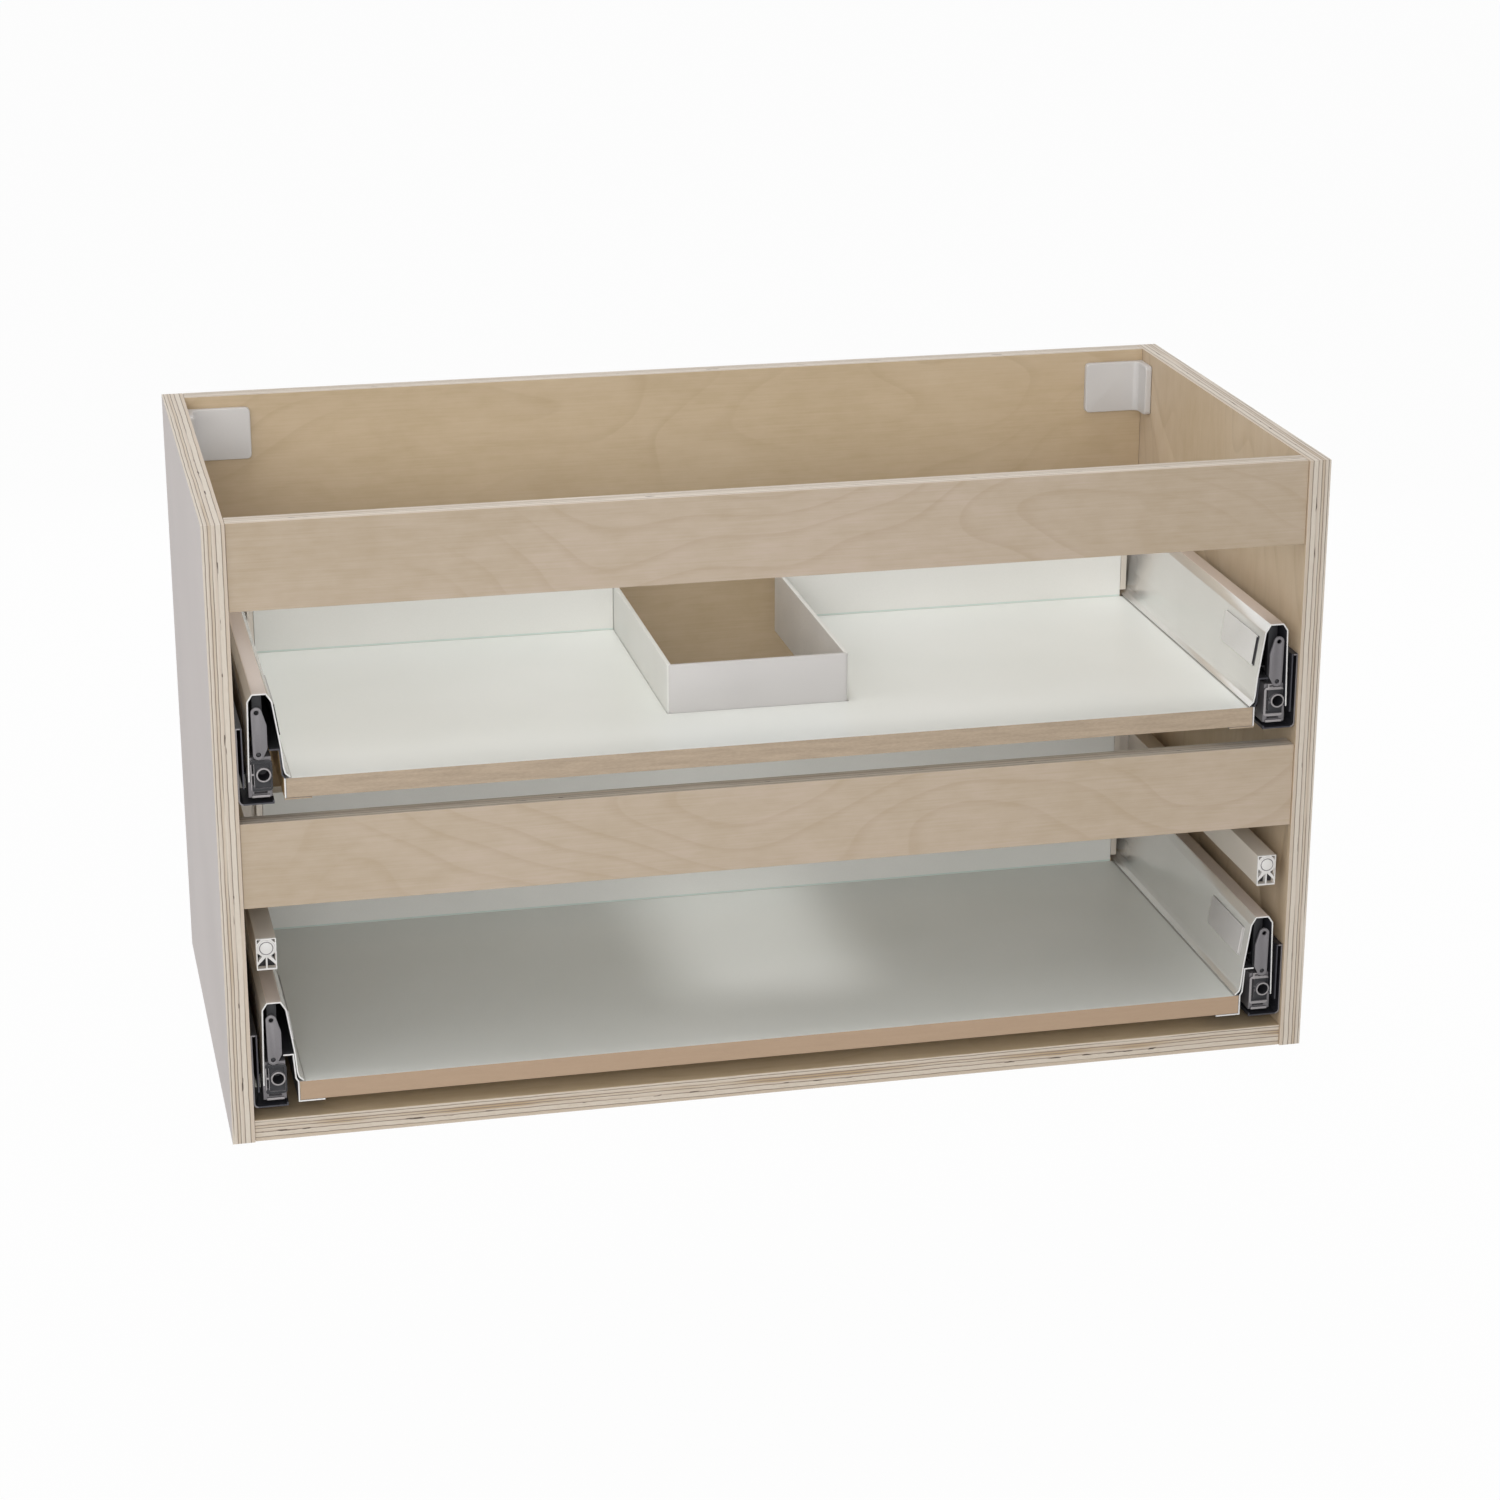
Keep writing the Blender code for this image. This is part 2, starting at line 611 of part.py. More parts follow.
def hanger_cover(side, label, carcass, finishes):
    """The moulded cover in the upper rear corner, hollow towards the wood."""
    rear = BACK_FACE - GAP
    front = BACK_FACE - COVER_REACH
    bend_y = rear - COVER_DEPTH
    low = COVER_UNDERSIDE
    high = low + COVER_HEIGHT
    outline = [
        (GAP, front), (COVER_DEPTH, front), (COVER_DEPTH, bend_y),
        (COVER_WIDTH, bend_y), (COVER_WIDTH, rear), (GAP, rear),
    ]
    shell = prism(on_side(side, fillet(outline, 2, COVER_BEND)), "Z", low, high)
    corners = []
    for edge in shell.edges:
        first, second = (vert.co for vert in edge.verts)
        level = abs(first.z - second.z) < GAP
        free_end = max(abs(first.x), abs(second.x)) < abs(wall_x(side, COVER_WIDTH)) + GAP
        free_front = max(first.y, second.y) < front + GAP
        across = abs(first.x - second.x) + abs(first.y - second.y)
        if level and (free_end or free_front) and across < COVER_DEPTH + GAP:
            corners.append(edge)
    bmesh.ops.bevel(
        shell, geom=corners, offset=COVER_CORNER, segments=CORNER_STEPS,
        profile=0.5, affect="EDGES", material=-1,
    )
    item = make(f"hanger_cover_{label}", shell, finishes.white_plastic, carcass, smooth=True)
    hollow = [
        (-OVERRUN, front + COVER_WALL), (COVER_DEPTH - COVER_WALL, front + COVER_WALL),
        (COVER_DEPTH - COVER_WALL, bend_y + COVER_WALL),
        (COVER_WIDTH - COVER_WALL, bend_y + COVER_WALL),
        (COVER_WIDTH - COVER_WALL, rear + OVERRUN), (-OVERRUN, rear + OVERRUN),
    ]
    tool = prism(on_side(side, hollow), "Z", low + COVER_WALL, high - COVER_WALL)
    combine(item, tool, "DIFFERENCE")


def hanger_housing(side, label, carcass, finishes):
    """The steel angle under the cover, with the channel that guides the hook."""
    rear = BACK_FACE - GAP
    low = COVER_UNDERSIDE + HOUSING_MARGIN
    high = COVER_UNDERSIDE + COVER_HEIGHT - HOUSING_MARGIN
    front = BACK_FACE - COVER_REACH + HOUSING_MARGIN
    far = COVER_WIDTH - HOUSING_MARGIN
    angle = sheet([(far, rear), (GAP, rear), (GAP, front)], HOUSING_SHEET)
    item = make(
        f"hanger_housing_{label}", prism(on_side(side, angle), "Z", low, high),
        finishes.zinc, carcass,
    )
    near = WINDOW_INSET + GAP
    away = WINDOW_INSET + WINDOW_WIDTH - GAP
    root = rear - HOUSING_SHEET / 2
    lip_y = BACK_FACE + CHANNEL_DEPTH
    cheeks = bmesh.new()
    for start, inward in ((near, 1), (away, -1)):
        path = [(start, root), (start, lip_y), (start + inward * CHANNEL_LIP, lip_y)]
        section = sheet(path, -inward * HOUSING_SHEET)
        bottom = COVER_UNDERSIDE + WINDOW_MARGIN + CHANNEL_MARGIN
        top = COVER_UNDERSIDE + COVER_HEIGHT - WINDOW_MARGIN - CHANNEL_MARGIN
        prism(on_side(side, section), "Z", bottom, top, cheeks)
    for height in hanger_screw_heights():
        centre = (wall_x(side, HANGER_SCREW_INSET), height)
        seat = rear - HOUSING_SHEET
        screw(
            "Y", centre, seat, 1, SCREW_DEPTH, HANGER_HEAD_RADIUS,
            HANGER_HEAD_THICKNESS, cheeks,
        )
        centre = (BACK_FACE - COVER_REACH * HANGER_SIDE_SCREW_SHARE, height)
        seat = wall_x(side, GAP + HOUSING_SHEET)
        screw(
            "X", centre, seat, side, SCREW_DEPTH, HANGER_HEAD_RADIUS,
            HANGER_HEAD_THICKNESS, cheeks,
        )
    combine(item, cheeks, "UNION")


def hanger_hook(side, label, carcass, finishes):
    """The hook in the back panel's window, which moves up and down to level the cabinet."""
    inset = WINDOW_INSET + WINDOW_WIDTH / 2
    low = COVER_UNDERSIDE + WINDOW_MARGIN + HOOK_MARGIN
    high = COVER_UNDERSIDE + COVER_HEIGHT - WINDOW_MARGIN - HOOK_MARGIN
    front = BACK_FACE + GAP
    plate_half = WINDOW_WIDTH / 2 - HOUSING_SHEET - 3 * GAP
    nose_half = HOOK_NOSE_WIDTH / 2
    centre_x = wall_x(side, inset)
    frame = empty(f"hanger_lift_{label}", (centre_x, front, (low + high) / 2), carcass)
    plate = box((-plate_half, 0, low), (plate_half, HOOK_SHEET, high))
    rear = HOOK_REACH
    nose = [
        (HOOK_SHEET / 2, high - HOOK_SHEET), (rear - HOOK_SHEET, high - HOOK_SHEET),
        (rear - HOOK_SHEET, high - HOOK_NOSE_DROP), (rear, high - HOOK_NOSE_DROP),
        (rear, high), (HOOK_SHEET / 2, high),
    ]
    tool = prism(nose, "X", -nose_half, nose_half)
    shift = Vector((0, 0, -(low + high) / 2))
    for mesh in (plate, tool):
        bmesh.ops.translate(mesh, vec=shift, verts=mesh.verts)
    item = make(f"hanger_hook_{label}", plate, finishes.zinc, frame)
    combine(item, tool, "UNION")


def runner(side, name, lift, carcass, finishes):
    """The fixed runner: a folded band on the side panel over a foot that guides the carriage."""
    band = GAP + RUNNER_BAND
    foot = -RUNNER_FOOT_DROP
    path = [
        (RUNNER_LIP_INSET, RUNNER_LIP_HEIGHT), (band, RUNNER_LIP_HEIGHT), (band, RUNNER_TOP),
        (GAP, RUNNER_TOP), (GAP, foot), (RUNNER_FOOT_INSET, foot),
        (RUNNER_FOOT_INSET, foot + RUNNER_EDGE),
    ]
    path = fillet(path, 4, RUNNER_CORNER)
    frame = empty(f"{name}_frame", (0, 0, lift), carcass)
    section = on_side(side, sheet(path, SHEET))
    band_and_foot = prism(section, "Y", RUNNER_FRONT, RUNNER_REAR)
    item = make(name, band_and_foot, finishes.dark_steel, frame)
    notch = box(
        (wall_x(side, band), RUNNER_FRONT - OVERRUN, RUNNER_LIP_HEIGHT - SHEET - OVERRUN),
        (wall_x(side, RUNNER_LIP_INSET + OVERRUN), TRACK_START, RUNNER_LIP_HEIGHT + OVERRUN),
    )
    screws = bmesh.new()
    seat = wall_x(side, GAP + SHEET)
    inner_leg = wall_x(side, band - SHEET - GAP)
    for centre in runner_screw_places(RUNNER_SCREW_HEIGHT):
        inner = wall_x(side, band + OVERRUN)
        drill("X", centre, inner_leg, inner, DRIVER_HOLE_RADIUS, notch)
        screw(
            "X", centre, seat, side, SCREW_DEPTH, RUNNER_HEAD_RADIUS,
            RUNNER_HEAD_THICKNESS, screws,
        )
    combine(item, notch, "DIFFERENCE")
    combine(item, screws, "UNION")


def side_point(share):
    """Inset and height of a point of the drawer side, from its shares."""
    return (SIDE_CLEAR + SIDE_WIDTH * share[0], SIDE_FOOT + SIDE_RISE * share[1])


def side_path():
    """The metal drawer side's outer face, from its outer foot over the top to its inner lip."""
    path = [side_point(share) for share in SIDE_PROFILE_SHARES]
    path.append((SIDE_CLEAR + SIDE_WIDTH, FLOOR_THICKNESS + SIDE_LIP_LIFT))
    return path


def metal_side(side, name, drawer, finishes):
    """The double-walled drawer side, open below."""
    section = on_side(side, sheet(side_path(), -SHEET))
    make(name, prism(section, "Y", FLOOR_FRONT, DRAWER_REAR), finishes.painted_steel, drawer)


def carrier_path():
    """The floor carrier's outer face, from its flange under the board to its track lip."""
    edge = FLOOR_INSET - GAP
    over_floor = FLOOR_THICKNESS + GAP
    in_side = SHEET + CARRIER_CLEARANCE
    track_bottom = CARRIER_TOP - CARRIER_TRACK_DROP
    return [
        (edge + CARRIER_FLANGE, -GAP), (edge, -GAP), (edge, over_floor),
        (side_point(SIDE_PROFILE_SHARES[6])[0] - in_side, over_floor + CARRIER_STEP_RISE),
        (side_point(SIDE_PROFILE_SHARES[5])[0] - in_side, CARRIER_TOP),
        (CARRIER_TRACK_INSET, CARRIER_TOP),
        (CARRIER_TRACK_INSET, track_bottom),
        (CARRIER_TRACK_INSET + CARRIER_TRACK_LIP, track_bottom),
    ]


def floor_carrier(side, name, drawer, finishes):
    """The folded sheet that carries the floor board and hangs on the carriage."""
    section = on_side(side, sheet(carrier_path(), SHEET))
    origin = (wall_x(side, FLOOR_INSET), FLOOR_FRONT, 0)
    sheet_metal = prism(section, "Y", FLOOR_FRONT, DRAWER_REAR)
    item = make(name, sheet_metal, finishes.painted_steel, drawer, origin)
    clear_inset = LEVER_PIVOT_INSET + LEVER_BULGE + LEVER_END_RADIUS + LEVER_ROOM
    tool = box(
        (wall_x(side, CARRIER_TRACK_INSET - OVERRUN), FLOOR_FRONT - OVERRUN,
         CARRIER_TOP - CARRIER_TRACK_DROP - OVERRUN),
        (wall_x(side, clear_inset), BLOCK_REAR + GAP, CARRIER_TOP + OVERRUN),
    )
    combine(item, tool, "DIFFERENCE")
    screws = bmesh.new()
    for y in floor_screw_places():
        centre = (wall_x(side, FLOOR_INSET + CARRIER_FLANGE / 2), y)
        screw(
            "Z", centre, -GAP - SHEET, 1, DRAWER_SCREW_LENGTH, DRAWER_HEAD_RADIUS,
            DRAWER_HEAD_THICKNESS, screws,
        )
    combine(item, screws, "UNION")


def floor_screw_places():
    """y of the screws that go up through the carrier into the floor board."""
    return [FLOOR_FRONT + FLOOR_DEPTH * share for share in FLOOR_SCREW_SHARES]


def front_bracket(side, name, drawer, finishes):
    """The block behind the missing drawer front, with its socket, arm and lever pin."""
    front = BLOCK_FRONT
    inner = BLOCK_INSET + BLOCK_WIDTH
    foot = SIDE_CLEAR + BLOCK_FOOT_RETURN
    foot_top = SIDE_FOOT - GAP
    outline = [
        (foot, BLOCK_UNDERSIDE), (inner, BLOCK_UNDERSIDE), (inner, BLOCK_TOP),
        (BLOCK_INSET, BLOCK_TOP), (BLOCK_INSET, foot_top), (foot, foot_top),
    ]
    origin = (wall_x(side, SOCKET_INSET), front, SOCKET_HEIGHT)
    block = prism(on_side(side, outline), "Y", front, BLOCK_REAR)
    item = make(name, block, finishes.bracket, drawer, origin)
    arm_top = SIDE_TOP - SHEET - GAP
    added = box(
        (wall_x(side, ARM_INSET), ARM_FRONT, BLOCK_TOP - OVERRUN),
        (wall_x(side, ARM_INSET + ARM_WIDTH), ARM_FRONT + ARM_DEPTH, arm_top),
    )
    combine(item, added, "UNION")
    pin = bmesh.new()
    centre = (wall_x(side, LEVER_PIVOT_INSET), LEVER_PIVOT_HEIGHT)
    prism(circle(centre, PIVOT_RADIUS, ROUND_SIDES), "Y", LEVER_FRONT, ARM_FRONT + OVERRUN, pin)
    socket = (wall_x(side, SOCKET_INSET) + SOCKET_SHIFT, SOCKET_HEIGHT)
    ring = circle(socket, SOCKET_RING, ROUND_SIDES)
    prism(ring, "Y", front - SOCKET_PROUD, front + OVERRUN, pin)
    combine(item, pin, "UNION")
    holes = bmesh.new()
    bore = circle(socket, SOCKET_RADIUS, ROUND_SIDES)
    prism(bore, "Y", front - SOCKET_PROUD - OVERRUN, front + SOCKET_DEPTH, holes)
    slot_x = socket[0] - (SOCKET_RING + SLOT_WIDTH)
    slot_low = SOCKET_HEIGHT - SLOT_HEIGHT / 2
    box(
        (slot_x, front - OVERRUN, slot_low),
        (slot_x + SLOT_WIDTH, front + SLOT_DEPTH, slot_low + SLOT_HEIGHT), holes,
    )
    combine(item, holes, "DIFFERENCE")


def lock_lever(side, name, drawer, finishes):
    """The lever plate on the bracket's pin, with its origin on the pin's axis."""
    pivot = (wall_x(side, LEVER_PIVOT_INSET), LEVER_PIVOT_HEIGHT)
    eye = (wall_x(side, LEVER_EYE_INSET), LEVER_EYE_HEIGHT)
    rise = LEVER_EYE_HEIGHT - LEVER_PIVOT_HEIGHT
    cloud = circle(pivot, LEVER_END_RADIUS, ROUND_SIDES)
    cloud += circle(eye, LEVER_END_RADIUS, ROUND_SIDES)
    for share in LEVER_BULGE_SHARES:
        centre = (pivot[0] - side * LEVER_BULGE, pivot[1] + rise * share)
        cloud += circle(centre, LEVER_END_RADIUS, ROUND_SIDES)
    frame = empty(f"{name}_pivot", (pivot[0], LEVER_FRONT, pivot[1]), drawer)
    shift = (-pivot[0], -LEVER_FRONT, -pivot[1])
    rear = LEVER_FRONT + LEVER_THICKNESS
    plate = prism(hull(cloud), "Y", LEVER_FRONT, rear)
    bmesh.ops.translate(plate, vec=shift, verts=plate.verts)
    item = make(name, plate, finishes.bracket, frame, smooth=True)
    holes = bmesh.new()
    for centre in (pivot, eye):
        outline = circle(centre, LEVER_HOLE_RADIUS, ROUND_SIDES)
        prism(outline, "Y", LEVER_FRONT - OVERRUN, rear + OVERRUN, holes)
    bmesh.ops.translate(holes, vec=shift, verts=holes.verts)
    combine(item, holes, "DIFFERENCE")


def cover_cap(side, name, drawer, finishes):
    """The flat cap on the inner slope of a drawer side."""
    top = Vector(side_point(SIDE_PROFILE_SHARES[4]))
    bottom = Vector(side_point(SIDE_PROFILE_SHARES[5]))
    run = (bottom - top).normalized()
    outward = Vector((-run.y, run.x))
    corners = []
    for share, lift in (
        (CAP_SLOPE_SHARES[0], GAP), (CAP_SLOPE_SHARES[1], GAP),
        (CAP_SLOPE_SHARES[1], GAP + CAP_THICKNESS), (CAP_SLOPE_SHARES[0], GAP + CAP_THICKNESS),
    ):
        corners.append(tuple(top.lerp(bottom, share) + outward * lift))
    cap = prism(on_side(side, corners), "Y", CAP_FRONT, CAP_FRONT + CAP_LENGTH)
    origin = (wall_x(side, corners[0][0]), CAP_FRONT, corners[0][1])
    make(name, cap, finishes.cap_plastic, drawer, origin)


def rear_bracket_top(has_gallery):
    """Height where the rear bracket ends."""
    if has_gallery:
        return GALLERY_UNDERSIDE + GALLERY_HEIGHT
    return SIDE_TOP - TONGUE_TOP_DROP


def rear_bracket(side, name, has_gallery, drawer, finishes):
    """The folded bracket between the drawer side and its back, notched for the carriage."""
    plate_face = DRAWER_REAR + GAP
    plate_rear = plate_face + BRACKET_SHEET
    strip_end = BACK_INSET - GAP
    strip_face = DRAWER_BACK_FRONT
    far = BACK_INSET + REAR_PLATE_REACH
    outline = [
        (TONGUE_INSET, plate_rear), (far, plate_rear), (far, plate_face),
        (strip_end, plate_face), (strip_end, strip_face), (REAR_STRIP_INSET, strip_face),
        (REAR_STRIP_INSET, strip_face + BRACKET_SHEET),
        (strip_end - BRACKET_SHEET, strip_face + BRACKET_SHEET),
        (strip_end - BRACKET_SHEET, plate_face), (TONGUE_INSET, plate_face),
    ]
    top = rear_bracket_top(has_gallery)
    origin = (wall_x(side, BACK_INSET), DRAWER_REAR, TONGUE_UNDERSIDE)
    plate = prism(on_side(side, outline), "Z", TONGUE_UNDERSIDE, top)
    item = make(name, plate, finishes.painted_steel, drawer, origin)
    notch = box(
        (wall_x(side, CARRIER_TRACK_INSET), plate_face - OVERRUN, TONGUE_UNDERSIDE - OVERRUN),
        (wall_x(side, RUNNER_FOOT_INSET), plate_rear + OVERRUN, CARRIER_TOP),
    )
    combine(item, notch, "DIFFERENCE")
    tongue = box(
        (wall_x(side, TONGUE_INSET), DRAWER_REAR - TONGUE_LENGTH, TONGUE_UNDERSIDE),
        (wall_x(side, TONGUE_INSET + BRACKET_SHEET), plate_face + BRACKET_SHEET / 2,
         rear_bracket_top(False)),
    )
    if has_gallery:
        margin = GALLERY_WALL + GAP
        box(
            (wall_x(side, GALLERY_INSET + margin), DRAWER_REAR - SPIGOT_LENGTH,
             GALLERY_UNDERSIDE + margin),
            (wall_x(side, GALLERY_INSET + GALLERY_WIDTH - margin), plate_face + BRACKET_SHEET / 2,
             top - margin), tongue,
        )
    for centre in rear_screw_places(side):
        screw(
            "Y", centre, plate_rear, -1, DRAWER_SCREW_LENGTH, DRAWER_HEAD_RADIUS,
            DRAWER_HEAD_THICKNESS, tongue,
        )
    combine(item, tongue, "UNION")


def rear_screw_places(side):
    """Centres (x, z) of the screws through a rear bracket into the drawer's back."""
    low = TONGUE_UNDERSIDE
    rise = rear_bracket_top(False) - low
    x = wall_x(side, BACK_INSET + REAR_PLATE_REACH / 2)
    return [(x, low + rise * share) for share in REAR_SCREW_SHARES]


def floor_screw_holes():
    """Cutter for the screw holes in a drawer's floor board."""
    bm = bmesh.new()
    for side, label in SIDES:
        for y in floor_screw_places():
            centre = (wall_x(side, FLOOR_INSET + CARRIER_FLANGE / 2), y)
            drill("Z", centre, -OVERRUN, DRAWER_SCREW_LENGTH, SCREW_HOLE_RADIUS, bm)
    return bm


def back_screw_holes(sides):
    """Cutter for the screw holes in the rear face of a drawer's back."""
    bm = bmesh.new()
    for side, label in sides:
        for centre in rear_screw_places(side):
            end = DRAWER_REAR - DRAWER_SCREW_LENGTH
            drill("Y", centre, DRAWER_REAR + OVERRUN, end, SCREW_HOLE_RADIUS, bm)
    return bm


def drawer_floor(name, has_recess, drawer, finishes):
    """The floor board, cut out round the siphon where the drawer has a recess."""
    half = INNER_WIDTH / 2 - FLOOR_INSET
    rear = FLOOR_FRONT + FLOOR_DEPTH
    origin = (0, FLOOR_FRONT, 0)
    board = box((-half, FLOOR_FRONT, 0), (half, rear, FLOOR_THICKNESS))
    item = make(name, board, finishes.board, drawer, origin)
    tool = floor_screw_holes()
    if has_recess:
        recess_half = RECESS_WIDTH / 2 + GAP
        box(
            (-recess_half, RECESS_FRONT - GAP, -OVERRUN),
            (recess_half, rear + OVERRUN, FLOOR_THICKNESS + OVERRUN), tool,
        )
    combine(item, tool, "DIFFERENCE")


def drawer_backs(level, height, has_recess, drawer, finishes):
    """The back board: one piece, or two that stop at the recess."""
    outer = INNER_WIDTH / 2 - BACK_INSET
    inner = RECESS_WIDTH / 2 + GAP
    spans = [(f"{level}_drawer_back", -outer, outer, SIDES)]
    if has_recess:
        spans = [
            (f"{level}_drawer_back_left", -outer, -inner, SIDES[:1]),
            (f"{level}_drawer_back_right", inner, outer, SIDES[1:]),
        ]
    for name, start, end, sides in spans:
        board = box((start, DRAWER_BACK_FRONT, 0), (end, DRAWER_REAR, height))
        origin = ((start + end) / 2, DRAWER_BACK_FRONT, 0)
        item = make(name, board, finishes.board, drawer, origin)
        combine(item, back_screw_holes(sides), "DIFFERENCE")


def siphon_recess(drawer, finishes):
    """The three-walled frame that keeps the drawer clear of the basin's siphon."""
    half = RECESS_WIDTH / 2
    inner = half - RECESS_WALL
    front = RECESS_FRONT
    outline = [
        (-half, DRAWER_REAR), (-half, front), (half, front), (half, DRAWER_REAR),
        (inner, DRAWER_REAR), (inner, front + RECESS_WALL),
        (-inner, front + RECESS_WALL), (-inner, DRAWER_REAR),
    ]
    outline = fillet(outline, 2, RECESS_CORNER)
    outline = fillet(outline, 1, RECESS_CORNER)
    bm = prism(outline, "Z", 0, RECESS_HEIGHT)
    make("siphon_recess", bm, finishes.white_plastic, drawer, (0, front, 0), smooth=True)


def carriage(side, name, frame, finishes):
    """The intermediate rail with its nylon glides: held by the runner, carrying the drawer."""
    top = CARRIER_TOP - CARRIAGE_TOP_DROP
    path = [
        (CARRIAGE_OUTER_INSET, CARRIAGE_LEG), (CARRIAGE_OUTER_INSET, -CARRIAGE_UNDERSIDE),
        (CARRIAGE_INNER_INSET, -CARRIAGE_UNDERSIDE), (CARRIAGE_INNER_INSET, top),
        (CARRIAGE_INNER_INSET - CARRIAGE_FLANGE, top),
    ]
    section = on_side(side, sheet(path, SHEET))
    rear = CARRIAGE_FRONT + CARRIAGE_LENGTH
    origin = (wall_x(side, CARRIAGE_INNER_INSET), CARRIAGE_FRONT, 0)
    rail = prism(section, "Y", CARRIAGE_FRONT, rear)
    item = make(name, rail, finishes.zinc, frame, origin)
    centre = roller_centre()
    flange_start = centre[0] + ROLLER_RADIUS + ROLLER_ROOM
    gap_for_roller = box(
        (wall_x(side, CLIP_OUTER - OVERRUN), CARRIAGE_FRONT - OVERRUN, top - SHEET - OVERRUN),
        (wall_x(side, CARRIAGE_INNER_INSET - SHEET - GAP), flange_start, top + OVERRUN),
    )
    combine(item, gap_for_roller, "DIFFERENCE")
    added = bmesh.new()
    block_low = -RUNNER_FOOT_DROP + SHEET + GAP
    block_high = RUNNER_LIP_HEIGHT - SHEET - GAP
    outer = wall_x(side, GAP + RUNNER_CORNER)
    inner = wall_x(side, CARRIAGE_OUTER_INSET + SHEET / 2)
    for start in (CARRIAGE_FRONT, rear - LOWER_GLIDE_LENGTH):
        end = start + LOWER_GLIDE_LENGTH
        box((outer, start + GAP, block_low), (inner, end - GAP, block_high), added)
    clip_top = CARRIER_TOP - SHEET - GAP
    clip_low = CARRIER_TOP - CARRIER_TRACK_DROP + SHEET + GAP
    near = wall_x(side, CLIP_OUTER)
    far = wall_x(side, CLIP_OUTER + UPPER_GLIDE_WIDTH)
    for start in (flange_start, rear - UPPER_GLIDE_LENGTH):
        end = start + UPPER_GLIDE_LENGTH
        box((near, start + GAP, clip_low), (far, end - GAP, clip_top), added)
    axle = circle(centre, AXLE_RADIUS, ROUND_SIDES)
    root = wall_x(side, CARRIAGE_INNER_INSET - SHEET / 2)
    tip = wall_x(side, CARRIAGE_INNER_INSET - SHEET - GAP - ROLLER_WIDTH)
    prism(axle, "X", root, tip, added)
    combine(item, added, "UNION")


def roller_centre():
    """y and height of the roller's axis: its top is just under the floor carrier's web."""
    return (CARRIAGE_FRONT + ROLLER_SETBACK, CARRIER_TOP - SHEET - GAP - ROLLER_RADIUS)


def roller(side, name, frame, finishes):
    """The roller on the carriage's axle, with its origin on the axle's axis."""
    y, z = roller_centre()
    outer = CARRIAGE_INNER_INSET - SHEET - GAP - ROLLER_WIDTH
    axle = empty(f"{name}_axle", (wall_x(side, outer), y, z), frame)
    width = -side * ROLLER_WIDTH
    wheel = prism(circle((0, 0), ROLLER_RADIUS, ROUND_SIDES), "X", 0, width)
    item = make(name, wheel, finishes.nylon, axle, smooth=True)
    bore = circle((0, 0), AXLE_RADIUS + AXLE_CLEARANCE, ROUND_SIDES)
    tool = prism(bore, "X", side * OVERRUN, width - side * OVERRUN)
    combine(item, tool, "DIFFERENCE")


def gallery_rail(side, name, drawer, finishes):
    """The hollow rail over the drawer side, held by the rear bracket's spigot."""
    low = GALLERY_UNDERSIDE
    high = low + GALLERY_HEIGHT
    near = wall_x(side, GALLERY_INSET)
    far = wall_x(side, GALLERY_INSET + GALLERY_WIDTH)
    start = GALLERY_FRONT + PLUG_FACE + GAP
    origin = (near, start, low)
    tube = box((near, start, low), (far, DRAWER_REAR, high))
    item = make(name, tube, finishes.gallery, drawer, origin)
    tool = box(
        (wall_x(side, GALLERY_INSET + GALLERY_WALL), start - OVERRUN, low + GALLERY_WALL),
        (wall_x(side, GALLERY_INSET + GALLERY_WIDTH - GALLERY_WALL), DRAWER_REAR + OVERRUN,
         high - GALLERY_WALL),
    )
    combine(item, tool, "DIFFERENCE")


def gallery_plug(side, name, drawer, finishes):
    """The plug in a gallery rail's front end."""
    low = GALLERY_UNDERSIDE
    high = low + GALLERY_HEIGHT
    margin = GALLERY_WALL + GAP
    face_rear = GALLERY_FRONT + PLUG_FACE
    near = wall_x(side, GALLERY_INSET)
    far = wall_x(side, GALLERY_INSET + GALLERY_WIDTH)
    face = box((near, GALLERY_FRONT, low), (far, face_rear, high))
    item = make(name, face, finishes.white_plastic, drawer, (near, GALLERY_FRONT, low), smooth=True)
    added = box(
        (wall_x(side, GALLERY_INSET + margin), face_rear - PLUG_FACE / 2, low + margin),
        (wall_x(side, GALLERY_INSET + GALLERY_WIDTH - margin), face_rear + PLUG_DEPTH,
         high - margin),
    )
    centre = ((near + far) / 2, high - PLUG_BOSS_RADIUS - GALLERY_WALL)
    boss = circle(centre, PLUG_BOSS_RADIUS, ROUND_SIDES)
    start = GALLERY_FRONT - PLUG_BOSS_PROUD
    prism(boss, "Y", start, GALLERY_FRONT + PLUG_FACE / 4, added)
    combine(item, added, "UNION")


